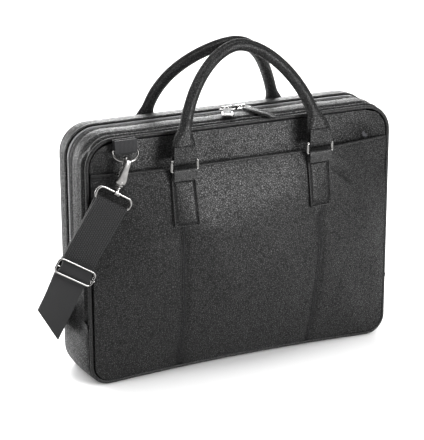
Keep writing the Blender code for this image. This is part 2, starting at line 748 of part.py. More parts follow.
def make_strap(looks):
    webbing = looks["strap"]
    radius = STRAP_RING_WIRE + RUNNING_CLEARANCE + STRAP_THICKNESS / 2
    bar, run, wide = make_fittings("front", -1, -D_RING_X, looks)
    front = run.cross(wide)
    if front.y > 0:
        front = -front
    path = hairpin(bar, DOUBLED_LENGTH, run, front, radius, 6)
    ribbon("strap_front_loop", path, [wide] * len(path), STRAP_WIDTH, STRAP_THICKNESS, webbing, bar)

    # the length adjuster lies in front of the strap, its middle bar in a sewn loop
    reach = DOUBLED_LENGTH + GAP + ADJUSTER_HEIGHT / 2
    centre = bar + run * reach + front * radius
    bm = bmesh.new()
    half_w = ADJUSTER_WIDTH / 2
    half_h = ADJUSTER_HEIGHT / 2
    rail = ADJUSTER_BAR
    xs = [-half_w, -half_w + rail, half_w - rail, half_w]
    ys = [-half_h, -half_h + rail, -rail / 2, rail / 2, half_h - rail, half_h]
    grid_frame(bm, xs, ys, [(1, 1), (1, 3)], ADJUSTER_THICKNESS)
    place = Matrix((wide, -run, wide.cross(-run))).transposed().to_4x4()
    bmesh.ops.transform(bm, matrix=Matrix.Translation(centre) @ place, verts=bm.verts)
    finish("adjuster", bm, looks["metal"], centre, smooth=False)

    # behind the adjuster it leaves the front, passes the bag's left side and folds
    start = bar + run * (DOUBLED_LENGTH + GAP) - front * radius
    stops = [start, start + run * RUN_LEAD + Y * RUN_LEAD_BACK]
    stops += [Vector((-HALF_WIDTH - out, y, start.z - drop)) for out, y, drop in RUN_STOPS]
    centres = smooth_points(stops)
    count = len(centres)
    widths = [wide + Y * STRAP_TWIST * i / count for i in range(count)]
    ribbon("strap_run", centres, widths, STRAP_WIDTH, STRAP_THICKNESS, webbing)
    make_strap_back(start.z, radius, looks)


def make_strap_back(start_z, radius, looks):
    """The rest stands on its edge behind the bag, then rises to the rear fittings."""
    webbing = looks["strap"]
    end_bar, end_run, end_wide = make_fittings("rear", 1, D_RING_X, looks)
    half = STRAP_WIDTH / 2
    back = REAR_Y + REAR_BULGE
    stops = [Vector((-HALF_WIDTH - out, y, start_z - drop)) for out, y, drop in FOLD_STOPS]
    stops += [Vector((-HALF_WIDTH + x, back + y, half + z)) for x, y, z in LEFT_STOPS]
    stops += [Vector((HALF_WIDTH - x, back + y, half + z)) for x, y, z in RIGHT_STOPS]
    stops += [Vector((-HALF_WIDTH + x, back + y, half + z)) for x, y, z in RETURN_STOPS]
    upright = len(stops)
    stops += [Vector((HALF_WIDTH - x, back + y, half + z)) for x, y, z in END_STOPS]
    loop_end = end_bar + end_run * (REAR_LOOP_LEG + GAP)
    stops += [loop_end + end_run * END_LEAD + Y * END_LEAD_BACK, loop_end]
    steps = 4
    centres = smooth_points(stops, steps)
    widths = []
    for i, centre in enumerate(centres):
        along = (centres[min(i + 1, len(centres) - 1)] - centres[max(i - 1, 0)]).normalized()
        widths.append(Z if i < steps * upright else along.cross(Y))
    ribbon("strap_back", centres, widths, STRAP_WIDTH, STRAP_THICKNESS, webbing)
    path = hairpin(end_bar, REAR_LOOP_LEG, end_run, Y, radius, 6)
    ribbon("strap_rear_loop", path, [end_wide] * len(path), STRAP_WIDTH, STRAP_THICKNESS, webbing, end_bar)


def make_all():
    clear_scene()
    looks = {
        "leather": material("leather", (0.018, 0.017, 0.018), 0.42),
        "piping": material("piping", (0.012, 0.012, 0.013), 0.38),
        "lining": material("lining", (0.06, 0.06, 0.065), 0.85),
        "board": material("board", (0.05, 0.05, 0.05), 0.6),
        "tape": material("zip_tape", (0.02, 0.02, 0.022), 0.8),
        "webbing": material("webbing", (0.02, 0.02, 0.022), 0.75),
        "strap": material("strap", (0.025, 0.025, 0.027), 0.7),
        "metal": material("metal", (0.55, 0.54, 0.53), 0.25, 1.0),
    }
    make_shell(looks)
    make_zip(looks)
    make_inside(looks)
    make_handles(looks)
    make_strap(looks)


make_all()
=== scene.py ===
"""Looks of a slim black leather briefcase: leather shell, zip, handles, fittings and shoulder strap."""
import json
from math import cos, pi, radians, sin

import bpy
from mathutils import Matrix, Vector


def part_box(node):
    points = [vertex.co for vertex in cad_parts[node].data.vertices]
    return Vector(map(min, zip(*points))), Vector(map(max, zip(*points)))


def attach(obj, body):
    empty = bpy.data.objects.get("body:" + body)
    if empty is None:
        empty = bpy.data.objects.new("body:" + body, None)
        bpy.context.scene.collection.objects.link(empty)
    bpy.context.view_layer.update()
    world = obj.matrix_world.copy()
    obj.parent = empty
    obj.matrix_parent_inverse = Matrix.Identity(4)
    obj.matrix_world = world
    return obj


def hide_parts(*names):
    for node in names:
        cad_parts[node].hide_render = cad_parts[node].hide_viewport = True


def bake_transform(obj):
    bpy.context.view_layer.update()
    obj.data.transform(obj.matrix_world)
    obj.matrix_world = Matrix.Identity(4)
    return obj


bl_info = {
    "name": "Leather Briefcase Maker",
    "version": (1, 0, 0),
    "blender": (4, 5, 0),
    "location": "3D View > Sidebar > Briefcase",
    "description": "Builds the leather, zip, fittings and strap of a slim briefcase",
    "category": "Object",
}

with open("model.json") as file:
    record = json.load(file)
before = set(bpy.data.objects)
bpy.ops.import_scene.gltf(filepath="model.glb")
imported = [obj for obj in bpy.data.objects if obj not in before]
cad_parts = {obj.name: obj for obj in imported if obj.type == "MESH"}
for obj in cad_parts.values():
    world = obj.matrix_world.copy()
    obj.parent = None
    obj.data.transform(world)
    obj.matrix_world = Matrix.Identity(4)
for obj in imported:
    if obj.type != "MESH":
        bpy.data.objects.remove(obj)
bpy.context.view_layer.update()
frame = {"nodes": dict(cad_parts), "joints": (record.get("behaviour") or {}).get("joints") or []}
NODES = frame["nodes"]
X = Vector((1, 0, 0))
Y = Vector((0, 1, 0))
Z = Vector((0, 0, 1))



def middle_of(node):
    low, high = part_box(node)
    return (low + high) / 2


# The bag's shell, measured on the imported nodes
GUSSET_LOW, GUSSET_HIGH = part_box("front_gusset")
POCKET_LOW, POCKET_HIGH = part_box("front_pocket_panel")
FRONT_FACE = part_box("front_panel")[0].y
REAR_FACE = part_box("rear_panel")[1].y
HALF_WIDTH = GUSSET_HIGH.x
HEIGHT = GUSSET_HIGH.z
FRONT_Y = middle_of("front_piping").y
REAR_Y = middle_of("rear_piping").y
ZIP_END = GUSSET_LOW.z
ZIP_Y = (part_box("zip_teeth_front")[1].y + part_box("zip_teeth_rear")[0].y) / 2
CORNER_RADIUS = 0.035
LOWER_RADIUS = CORNER_RADIUS - 0.010
BULGE_POWER_ACROSS = 2.5
BULGE_POWER_UP = 2.2
LEATHER = 0.0016
GUSSET_LEATHER = 0.0014
PANEL_INSET = 0.0060
REAR_PANEL_INSET = 0.0036
WELT_INSET = 0.0027
WELT_RADIUS = 0.0023
HEM_RADIUS = 0.0016
SEAM_SPREAD = 0.0030
TAB_CORNER = 0.005
TAB_CHANNEL = 0.0030
TOOTH_PITCH = 0.0021
GRIP_RADIUS = 0.0068
FOOT_HALF_WIDTH = 0.0152
FOOT_HALF_DEPTH = 0.0042
GRIP_SEAM_ANGLE = 0.52
HOOK_BOW = 0.0044
STRAP_WIDTH = 0.042
STRAP_TURN = 0.0027
WINDOW_WIDTH = 0.0412
QUILT_STEP = 0.045
SHELLS = (("front", -1, "front_shell"), ("rear", 1, "bag"))
POCKET_FACE = FRONT_Y - LEATHER - 0.0003
POCKET_BULGE = POCKET_FACE - POCKET_LOW.y
FRONT_BULGE = FRONT_Y - FRONT_FACE
REAR_BULGE = REAR_FACE - REAR_Y
HANDLE_X = middle_of("handle_ring_front_right").x
JOINTS = {joint["name"]: joint for joint in frame["joints"]}


# ------------------------------------------------------------ sizes and colours
class ShellSettings(bpy.types.PropertyGroup):
    leather_colour: bpy.props.FloatVectorProperty(
        name="Leather colour", description="Colour of the pebbled leather", subtype="COLOR",
        size=3, default=(0.0062, 0.0061, 0.0063), min=0, max=1)
    seam_depth: bpy.props.FloatProperty(
        name="Seam depth", description="How far the two upright seams pinch the pocket panel",
        default=0.0030, unit="LENGTH")
    seam_width: bpy.props.FloatProperty(
        name="Seam width", description="Width of the dip on each side of a seam",
        default=0.009, unit="LENGTH")
    base_arch: bpy.props.FloatProperty(
        name="Base arch", description="How far the middle of the front's lower edge rises",
        default=0.0045, unit="LENGTH")
    stitch_length: bpy.props.FloatProperty(
        name="Stitch length", description="Visible length of one stitch", default=0.0028, unit="LENGTH")
    stitch_gap: bpy.props.FloatProperty(
        name="Stitch gap", description="Space between two stitches", default=0.0010, unit="LENGTH")


class StageSettings(bpy.types.PropertyGroup):
    camera_distance: bpy.props.FloatProperty(
        name="Camera distance", description="From the middle of the bag", default=2.1138, unit="LENGTH")
    camera_azimuth: bpy.props.FloatProperty(
        name="Camera azimuth", description="Turned towards the bag's left side",
        default=radians(-26.19), subtype="ANGLE")
    camera_elevation: bpy.props.FloatProperty(
        name="Camera elevation", description="Above the floor", default=radians(18.66), subtype="ANGLE")
    lens: bpy.props.FloatProperty(name="Lens", description="Focal length in millimetres", default=142.5)


# ----------------------------------------------------------------- shared tools
def deselect():
    if bpy.context.object and bpy.context.object.mode != "OBJECT":
        bpy.ops.object.mode_set(mode="OBJECT")
    bpy.ops.object.select_all(action="DESELECT")


def choose(piece):
    deselect()
    piece.select_set(True)
    bpy.context.view_layer.objects.active = piece


def shade_smooth():
    """Shade the active piece smooth and keep its sharp edges."""
    bpy.ops.object.shade_smooth_by_angle(angle=radians(50))


def surface(name, columns, rows, place):
    """A primitive grid whose points are moved to place(u, v), both from 0 to 1."""
    deselect()
    bpy.ops.mesh.primitive_grid_add(x_subdivisions=columns, y_subdivisions=rows, size=2)
    piece = bpy.context.object
    piece.name = name
    piece.data.name = name
    for vert in piece.data.vertices:
        vert.co = place((vert.co.x + 1) / 2, (vert.co.y + 1) / 2)
    return piece


def close(piece, caps=True):
    """Weld the edges that meet, fill the ends and point the faces outwards."""
    choose(piece)
    bpy.ops.object.mode_set(mode="EDIT")
    bpy.ops.mesh.select_all(action="SELECT")
    bpy.ops.mesh.remove_doubles(threshold=1e-6)
    if caps:
        bpy.ops.mesh.fill_holes(sides=0)
    bpy.ops.mesh.select_all(action="SELECT")
    bpy.ops.mesh.normals_make_consistent(inside=False)
    bpy.ops.object.mode_set(mode="OBJECT")
    shade_smooth()
    return piece


def modify(piece, kind, **values):
    choose(piece)
    made = piece.modifiers.new(kind.title(), kind)
    for key, value in values.items():
        setattr(made, key, value)
    bpy.ops.object.modifier_apply(modifier=made.name)
    return piece


def soften(piece, width, angle=40):
    """Round off the edges that are sharper than the angle."""
    modify(piece, "BEVEL", width=width, segments=2, limit_method="ANGLE", angle_limit=radians(angle))


def block(size, bevel, segments, centre=(0, 0, 0)):
    """A box with softened edges."""
    deselect()
    bpy.ops.mesh.primitive_cube_add(size=1)
    piece = bpy.context.object
    piece.scale = size
    piece.location = centre
    bpy.ops.object.transform_apply(location=True, scale=True)
    return modify(piece, "BEVEL", width=bevel, segments=segments)


def thicken(piece, thickness, inside):
    """Give a sheet its thickness, towards the direction that it doesn't face."""
    choose(piece)
    bpy.ops.object.mode_set(mode="EDIT")
    bpy.ops.mesh.select_all(action="SELECT")
    bpy.ops.mesh.normals_make_consistent(inside=False)
    bpy.ops.object.mode_set(mode="OBJECT")
    middle = piece.data.polygons[len(piece.data.polygons) // 2]
    if middle.normal.dot(inside) > 0:
        piece.data.flip_normals()
    modify(piece, "SOLIDIFY", thickness=thickness, offset=-1.0)
    shade_smooth()
    return piece


def steer(points, closed, across):
    """At each point of a path: its place, direction, and two directions square to it."""
    count = len(points)
    found = []
    for i, point in enumerate(points):
        after = points[(i + 1) % count] if closed or i + 1 < count else point
        before = points[i - 1] if closed or i else point
        along = (after - before).normalized()
        side = across - along * across.dot(along)
        side.normalize()
        found.append((point, along, side, along.cross(side)))
    return found


def tube(name, points, radius, sides=12, closed=False, across=Y):
    """A round rod along a path; across is roughly square to the path's plane."""
    path = steer(points, closed, across)
    if closed:
        path.append(path[0])
    last = len(path) - 1

    def place(u, v):
        centre, _, side, other = path[round(v * last)]
        angle = 2 * pi * u
        return centre + side * cos(angle) * radius + other * sin(angle) * radius

    return close(surface(name, sides, last, place), caps=not closed)


def ribbon(name, rows, thickness, columns=6):
    """A flat strip through rows given as (left edge, right edge); its UV map is in metres."""
    last = len(rows) - 1

    def place(u, v):
        left, right = rows[round(v * last)]
        return left.lerp(right, u)

    piece = surface(name, columns, last, place)
    travelled = [0.0]
    for (a, b), (c, d) in zip(rows, rows[1:]):
        travelled.append(travelled[-1] + ((c + d) / 2 - (a + b) / 2).length)
    for loop in piece.data.uv_layers.active.data:
        left, right = rows[round(loop.uv.y * last)]
        loop.uv = (loop.uv.x * (right - left).length, travelled[round(loop.uv.y * last)])
    modify(piece, "SOLIDIFY", thickness=thickness, offset=0.0)
    shade_smooth()
    piece["strip_length"] = travelled[-1]
    return piece


def lathe(name, base, along, profile, sides=20):
    """A round solid along a line; the profile holds (distance along, radius)."""
    out = along.orthogonal().normalized()
    other = along.cross(out)
    last = len(profile) - 1

    def place(u, v):
        distance, radius = profile[round(v * last)]
        angle = 2 * pi * u
        return base + along * distance + (out * cos(angle) + other * sin(angle)) * radius

    return close(surface(name, sides, last, place))


def join(name, pieces):
    choose(pieces[0])
    for piece in pieces:
        piece.select_set(True)
    bpy.ops.object.join()
    pieces[0].name = name
    return pieces[0]


def turned(piece):
    """Half a turn about the bag's upright middle line, for the fittings at the rear."""
    piece.data.transform(Matrix.Rotation(pi, 4, "Z"))
    return piece


def hairpin(bar, leg, down, away, radius):
    """Centres of a strip that comes up one side of a bar, round it and down again."""
    found = [bar + down * leg + away * radius]
    for i in range(13):
        angle = pi * i / 12
        found.append(bar + away * radius * cos(angle) - down * radius * sin(angle))
    found.append(bar + down * leg - away * radius)
    return found


def rounded(points, closed=True, steps=6, share=0.35):
    """The path through the points with each corner cut by a smooth curve."""
    found = []
    count = len(points)
    for i, point in enumerate(points):
        if not closed and i in (0, count - 1):
            found.append(point)
            continue
        before = points[i - 1]
        after = points[(i + 1) % count]
        start = point + (before - point) * share
        end = point + (after - point) * share
        for k in range(steps + 1):
            t = k / steps
            found.append(start * (1 - t) ** 2 + point * 2 * t * (1 - t) + end * t * t)
    return found


def smooth_points(points, steps=8):
    """A smooth curve through the points (Catmull-Rom)."""
    padded = [2 * points[0] - points[1], *points, 2 * points[-1] - points[-2]]
    found = []
    for a, b, c, d in zip(padded, padded[1:], padded[2:], padded[3:]):
        for i in range(steps):
            t = i / steps
            bend = (2 * a - 5 * b + 4 * c - d) * t * t
            found.append((2 * b + (c - a) * t + bend + (3 * b - a - 3 * c + d) * t**3) / 2)
    found.append(points[-1])
    return found


def copies(name, pattern, places):
    """One mesh holding a copy of the pattern piece at each place, given as 4 by 4 matrices."""
    verts = []
    faces = []
    shape = [vert.co.copy() for vert in pattern.data.vertices]
    loops = [tuple(face.vertices) for face in pattern.data.polygons]
    for place in places:
        start = len(verts)
        verts.extend(place @ co for co in shape)
        faces.extend(tuple(start + i for i in loop) for loop in loops)
    mesh = bpy.data.meshes.new(name)
    mesh.from_pydata(verts, [], faces)
    piece = bpy.data.objects.new(name, mesh)
    bpy.context.collection.objects.link(piece)
    bpy.data.objects.remove(pattern)
    choose(piece)
    shade_smooth()
    return piece


def basis(along, up, centre):
    """A matrix whose X runs along and whose Z points up."""
    along = along.normalized()
    side = up.cross(along).normalized()
    top = along.cross(side)
    turn = Matrix((along, side, top)).transposed().to_4x4()
    return Matrix.Translation(centre) @ turn


def one_stitch():
    """A short rounded thread lying along X."""
    length = bpy.context.scene.briefcase_shell.stitch_length
    return block((length, 0.0007, 0.0006), 0.00025, 1)


def stitch_line(points, normals):
    """Places for stitches at even steps along a path on a surface."""
    shell = bpy.context.scene.briefcase_shell
    pitch = shell.stitch_length + shell.stitch_gap
    found = []
    left = pitch / 2
    for (start, end), normal in zip(zip(points, points[1:]), normals):
        length = (end - start).length
        along = (end - start).normalized() if length else X
        while left <= length:
            found.append(basis(along, normal, start + along * left + normal * 0.0001))
            left += pitch
        left -= length
    return found


def smoothstep(low, high, value):
    share = min(max((value - low) / (high - low), 0), 1)
    return share * share * (3 - 2 * share)


def dip(distance, width):
    """1 on a line, falling smoothly to 0 at the given distance."""
    share = max(0.0, 1 - abs(distance) / width)
    return share * share * (3 - 2 * share)


# ---------------------------------------------------------------- the materials
def group(name, inputs, outputs):
    made = bpy.data.node_groups.new(name, "ShaderNodeTree")
    for label, kind, value in inputs:
        socket = made.interface.new_socket(name=label, in_out="INPUT", socket_type=kind)
        socket.default_value = value
    for label, kind in outputs:
        made.interface.new_socket(name=label, in_out="OUTPUT", socket_type=kind)
    return made, made.nodes.new("NodeGroupInput"), made.nodes.new("NodeGroupOutput")


def math_node(tree, operation, first, second=0.5, clamp=False):
    node = tree.nodes.new("ShaderNodeMath")
    node.operation = operation
    node.use_clamp = clamp
    for socket, value in zip(node.inputs, (first, second)):
        if isinstance(value, (int, float)):
            socket.default_value = value
        else:
            tree.links.new(value, socket)
    return node.outputs[0]


def noise(tree, vector, scale, detail=2.0):
    node = tree.nodes.new("ShaderNodeTexNoise")
    node.inputs["Scale"].default_value = scale
    node.inputs["Detail"].default_value = detail
    tree.links.new(vector, node.inputs["Vector"])
    return node.outputs["Fac"]


def pebble_group():
    """Leather grain: rounded pebbles with fine creases between them, in soft patches."""
    inputs = [("Grain Size", "NodeSocketFloat", 1.0), ("Patchiness", "NodeSocketFloat", 0.5)]
    outputs = [("Height", "NodeSocketFloat"), ("Crease", "NodeSocketFloat"), ("Patch", "NodeSocketFloat")]
    tree, enter, leave = group("Pebble Grain", inputs, outputs)
    coords = tree.nodes.new("ShaderNodeTexCoord")
    size = math_node(tree, "DIVIDE", 520.0, enter.outputs["Grain Size"])
    warp = tree.nodes.new("ShaderNodeTexNoise")
    warp.inputs["Scale"].default_value = 300.0
    tree.links.new(coords.outputs["Object"], warp.inputs["Vector"])
    shift = tree.nodes.new("ShaderNodeVectorMath")
    shift.operation = "MULTIPLY_ADD"
    shift.inputs[1].default_value = (0.0016, 0.0016, 0.0016)
    tree.links.new(warp.outputs["Color"], shift.inputs[0])
    tree.links.new(coords.outputs["Object"], shift.inputs[2])
    cells = tree.nodes.new("ShaderNodeTexVoronoi")
    cells.feature = "DISTANCE_TO_EDGE"
    tree.links.new(shift.outputs[0], cells.inputs["Vector"])
    tree.links.new(size, cells.inputs["Scale"])
    edge = math_node(tree, "MULTIPLY", cells.outputs["Distance"], 2.2, clamp=True)
    dome = math_node(tree, "POWER", edge, 0.8)
    fine = noise(tree, coords.outputs["Object"], 1900.0, 3.0)
    height = math_node(tree, "ADD", dome, math_node(tree, "MULTIPLY", fine, 0.25))
    tree.links.new(height, leave.inputs["Height"])
    crease = math_node(tree, "SUBTRACT", 1.0, edge)
    tree.links.new(crease, leave.inputs["Crease"])
    patch = noise(tree, coords.outputs["Object"], 22.0, 3.0)
    level = math_node(tree, "SUBTRACT", patch, 0.5)
    level = math_node(tree, "MULTIPLY", level, enter.outputs["Patchiness"])
    tree.links.new(math_node(tree, "ADD", level, 0.5), leave.inputs["Patch"])
    return tree


def weave_group():
    """Webbing: crossed threads on the strip's own UV map, which is in metres, U across and V along."""
    inputs = [("Threads", "NodeSocketFloat", 520.0)]
    outputs = [("Height", "NodeSocketFloat"), ("Shade", "NodeSocketFloat")]
    tree, enter, leave = group("Webbing Weave", inputs, outputs)
    coords = tree.nodes.new("ShaderNodeTexCoord")
    split = tree.nodes.new("ShaderNodeSeparateXYZ")
    tree.links.new(coords.outputs["UV"], split.inputs[0])
    across = math_node(tree, "MULTIPLY", split.outputs[0], enter.outputs["Threads"])
    along = math_node(tree, "MULTIPLY", split.outputs[1], enter.outputs["Threads"])
    odd = math_node(tree, "MODULO", math_node(tree, "FLOOR", across, 0.0), 2.0)
    moved = math_node(tree, "ADD", along, math_node(tree, "MULTIPLY", odd, 0.5))
    waves = []
    for count in (across, moved):
        wave = math_node(tree, "SINE", math_node(tree, "MULTIPLY", count, pi), 0.0)
        waves.append(math_node(tree, "ABSOLUTE", wave, 0.0))
    knots = math_node(tree, "MULTIPLY", *waves)
    fuzz = noise(tree, coords.outputs["Object"], 2200.0, 2.0)
    height = math_node(tree, "ADD", knots, math_node(tree, "MULTIPLY", fuzz, 0.35))
    tree.links.new(height, leave.inputs["Height"])
    tree.links.new(math_node(tree, "MULTIPLY", height, 0.8), leave.inputs["Shade"])
    return tree


def new_material(name, roughness, metallic=0.0, **sockets):
    made = bpy.data.materials.new(name)
    made.use_nodes = True
    shader = made.node_tree.nodes["Principled BSDF"]
    shader.inputs["Roughness"].default_value = roughness
    shader.inputs["Metallic"].default_value = metallic
    for label, value in sockets.items():
        shader.inputs[label.replace("_", " ")].default_value = value
    return made, made.node_tree, shader


def place_group(tree, source, **values):
    node = tree.nodes.new("ShaderNodeGroup")
    node.node_tree = source
    for label, value in values.items():
        node.inputs[label.replace("_", " ")].default_value = value
    return node


def ramp(tree, factor, low, high, start=0.0, end=1.0):
    node = tree.nodes.new("ShaderNodeMapRange")
    node.inputs["From Min"].default_value = start
    node.inputs["From Max"].default_value = end
    node.inputs["To Min"].default_value = low
    node.inputs["To Max"].default_value = high
    tree.links.new(factor, node.inputs["Value"])
    return node.outputs["Result"]


def blend_colours(tree, factor, low, high, start=0.0, end=1.0):
    node = tree.nodes.new("ShaderNodeValToRGB")
    node.color_ramp.elements[0].color = (*low, 1)
    node.color_ramp.elements[1].color = (*high, 1)
    node.color_ramp.elements[0].position = start
    node.color_ramp.elements[1].position = end
    tree.links.new(factor, node.inputs["Fac"])
    return node.outputs["Color"]


def bump(tree, shader, height, distance):
    node = tree.nodes.new("ShaderNodeBump")
    node.inputs["Distance"].default_value = distance
    tree.links.new(height, node.inputs["Height"])
    tree.links.new(node.outputs["Normal"], shader.inputs["Normal"])


def leather_material(name, grain, size, depth, roughness):
    colour = bpy.context.scene.briefcase_shell.leather_colour
    made, tree, shader = new_material(name, roughness, Specular_IOR_Level=0.20, Coat_Roughness=0.46)
    pebbles = place_group(tree, grain, Grain_Size=size, Patchiness=1.0)
    # The grain's colour carries painted light: the creases are painted dark as shade and the pebble tops
    # painted light as a highlight.
    painted_crease_shade = [part * 0.10 for part in colour]
    painted_pebble_highlight = [part * 2.4 for part in colour]
    shade = blend_colours(tree, pebbles.outputs["Height"], painted_crease_shade, painted_pebble_highlight, 0.45, 1.15)
    tree.links.new(shade, shader.inputs["Base Color"])
    patches = ramp(tree, pebbles.outputs["Patch"], roughness - 0.07, roughness + 0.07, 0.3, 0.7)
    creases = math_node(tree, "MULTIPLY", pebbles.outputs["Crease"], 0.40)
    tree.links.new(math_node(tree, "ADD", patches, creases), shader.inputs["Roughness"])
    shine = ramp(tree, pebbles.outputs["Height"], 0.05, 0.85, 0.24, 1.12)
    tree.links.new(shine, shader.inputs["Coat Weight"])
    bump(tree, shader, pebbles.outputs["Height"], depth)
    return made


def webbing_material(name, weave, threads, colour, depth, roughness):
    made, tree, shader = new_material(name, roughness, Specular_IOR_Level=0.3)
    crossed = place_group(tree, weave, Threads=threads)
    low = [part * 0.25 for part in colour]
    tree.links.new(blend_colours(tree, crossed.outputs["Shade"], low, colour), shader.inputs["Base Color"])
    bump(tree, shader, crossed.outputs["Height"], depth)
    return made


def metal_material(name, colour, roughness):
    made, tree, shader = new_material(name, roughness, 1.0)
    coords = tree.nodes.new("ShaderNodeTexCoord")
    smear = noise(tree, coords.outputs["Object"], 180.0, 4.0)
    low = [part * 0.8 for part in colour]
    tree.links.new(blend_colours(tree, smear, low, colour, 0.3, 0.7), shader.inputs["Base Color"])
    tree.links.new(ramp(tree, smear, roughness - 0.04, roughness + 0.08, 0.3, 0.7), shader.inputs["Roughness"])
    scratches = noise(tree, coords.outputs["Object"], 900.0, 3.0)
    bump(tree, shader, scratches, 0.00002)
    return made


def cloth_material(name, colour, scale, roughness):
    made, tree, shader = new_material(name, roughness, Specular_IOR_Level=0.25)
    coords = tree.nodes.new("ShaderNodeTexCoord")
    split = tree.nodes.new("ShaderNodeSeparateXYZ")
    tree.links.new(coords.outputs["Object"], split.inputs[0])
    waves = []
    for axis in (0, 1, 2):
        turned = math_node(tree, "MULTIPLY", split.outputs[axis], scale)
        waves.append(math_node(tree, "SINE", turned, 0.0))
    first = math_node(tree, "MULTIPLY", waves[0], waves[2])
    threads = math_node(tree, "ADD", first, math_node(tree, "MULTIPLY", waves[1], waves[2]))
    low = [part * 0.5 for part in colour]
    shade = blend_colours(tree, ramp(tree, threads, 0.0, 1.0, -1.0, 1.0), low, colour)
    tree.links.new(shade, shader.inputs["Base Color"])
    bump(tree, shader, threads, 0.0001)
    return made


LOOKS = {}


class BRIEFCASE_OT_materials(bpy.types.Operator):
    """Make the leathers, metals, cloths and webbings"""

    bl_idname = "briefcase.materials"
    bl_label = "Materials"

    def execute(self, context):
        grain = pebble_group()
        weave = weave_group()
        for key, name, size, depth in (
            ("leather", "Pebbled Leather", 1.12, 0.00200),
            ("smooth_leather", "Smooth Leather", 0.8, 0.00040),
        ):
            LOOKS[key] = leather_material(name, grain, size, depth, 0.30)
        for key, name, colour, threads, roughness in (
            ("thread", "Black Thread", (0.020, 0.020, 0.021), 6000.0, 0.5),
            ("tape", "Zip Tape", (0.014, 0.014, 0.015), 5200.0, 0.85),
            ("lining", "Grey Lining", (0.055, 0.055, 0.06), 3800.0, 0.85),
            ("board", "Base Board", (0.03, 0.03, 0.03), 900.0, 0.85),
        ):
            LOOKS[key] = cloth_material(name, colour, threads, roughness)
        for key, name, colour, roughness in (
            ("metal", "Dark Nickel", (0.25, 0.245, 0.24), 0.20),
            ("bright_metal", "Brushed Plate", (0.20, 0.20, 0.195), 0.5),
            ("teeth", "Zip Teeth", (0.24, 0.24, 0.245), 0.34),
        ):
            LOOKS[key] = metal_material(name, colour, roughness)
        for key, name, threads, colour, depth, roughness in (
            ("strap", "Coarse Strap Weave", 360.0, (0.022, 0.022, 0.023), 0.0016, 0.6),
            ("fine_strap", "Fine Strap Weave", 800.0, (0.016, 0.016, 0.017), 0.0006, 0.65),
            ("webbing", "Loop Weave", 620.0, (0.026, 0.026, 0.028), 0.0005, 0.6),
        ):
            LOOKS[key] = webbing_material(name, weave, threads, colour, depth, roughness)
        return {"FINISHED"}


def dress(piece, look, body=None, replaces=()):
    """Give a finished piece its material and body, and hide the CAD nodes that it stands for."""
    piece.data.materials.clear()
    piece.data.materials.append(LOOKS[look])
    if body:
        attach(piece, body)
    if replaces:
        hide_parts(*replaces)
    return piece


def sew(name, places, body):
    """One piece that holds a stitch at each place."""
    dress(copies(name, one_stitch(), places), "thread", body)


# ------------------------------------------------------------ the bag's outline
def arc(centre, radius, start, steps=10):
    for i in range(steps + 1):
        angle = radians(start + 90 * i / steps)
        way = Vector((cos(angle), 0, sin(angle)))
        yield centre + way * radius, way


def corner_centre(right, top):
    radius = CORNER_RADIUS if top else LOWER_RADIUS
    x = (HALF_WIDTH - radius) * (1 if right else -1)
    return Vector((x, 0, HEIGHT - radius if top else radius))


def evenly(stations, step):
    """The same path with a station at least every step."""
    found = [stations[0]]
    for (start, way), (end, way_2) in zip(stations, stations[1:]):
        count = max(1, round((end - start).length / step))
        for i in range(1, count + 1):
            share = i / count
            found.append((start.lerp(end, share), way.lerp(way_2, share).normalized()))
    return found


def outline(inset, part, step=0.006):
    """Places and outward directions round the bag; part is loop, upper or lower, parted at the side seams."""
    side = HALF_WIDTH - inset
    radii = {True: CORNER_RADIUS - inset, False: LOWER_RADIUS - inset}
    starts = {(True, True): 0, (False, True): 90, (False, False): 180, (True, False): 270}
    corners = {key: list(arc(corner_centre(*key), radii[key[1]], starts[key])) for key in starts}
    right = (Vector((side, 0, ZIP_END)), X)
    left = (Vector((-side, 0, ZIP_END)), -X)
    upper = [right, *corners[True, True], *corners[False, True], left]
    lower = [left, *corners[False, False], *corners[True, False], right]
    if part == "upper":
        return evenly(upper, step)
    if part == "lower":
        return evenly(lower, step)
    return evenly(upper + lower[1:], step)[:-1]


def base_rise(x, z, y):
    """The front's lower edge is arched: its middle stands a little off the floor."""
    shell = bpy.context.scene.briefcase_shell
    near = 1 - smoothstep(0.0, 0.06, z)
    front = 1 - smoothstep(FRONT_Y, FRONT_Y + 0.035, y)
    middle = max(0.0, 1 - (x / (HALF_WIDTH - 0.03)) ** 2)
    return shell.base_arch * near * front * middle


def bulge(x, z, amount):
    across = 1 - min(abs(x / HALF_WIDTH), 1) ** BULGE_POWER_ACROSS
    up = 1 - min(abs(2 * z / HEIGHT - 1), 1) ** BULGE_POWER_UP
    return amount * across * up


def seam_x(z):
    """The two upright seams lean out a little towards the top."""
    return HANDLE_X - 0.001 + 0.004 * z / 0.18


def slouch(x, z):
    """Slow waves and creases of soft leather, in metres towards the front."""
    slow = 0.0009 * sin(31 * x + 17 * z + 0.6) + 0.0007 * sin(57 * z - 23 * x + 2.1)
    return slow + 0.0005 * sin(88 * x + 41 * z)


def pocket_face(x, z):
    shell = bpy.context.scene.briefcase_shell
    y = POCKET_FACE - bulge(x, z, POCKET_BULGE)
    below_tab = 1 - smoothstep(0.178, 0.188, z)
    for side in (-1, 1):
        gap = x - side * seam_x(z)
        pinch = shell.seam_depth * dip(gap, shell.seam_width) * below_tab
        wide = 0.0022 * dip(gap, 0.055) * smoothstep(0.0, 0.03, z) * below_tab
        y += pinch + wide
    edge = min(1.0, (HALF_WIDTH - abs(x)) / 0.02, z / 0.02)
    y -= slouch(x, z) * edge
    # creases beside the right-hand ring, and the gaping corner of the pocket's mouth
    line = (x - 0.108) * 0.62 + (z - 0.236) * 0.78
    reach = dip(x - 0.128, 0.030) * dip(z - 0.226, 0.035)
    y += 0.0022 * dip(line, 0.004) * reach
    right = smoothstep(0.160, 0.186, x) * smoothstep(0.19, 0.25, z)
    y += 0.0040 * right * (0.5 + 0.5 * sin(95 * z))
    return y


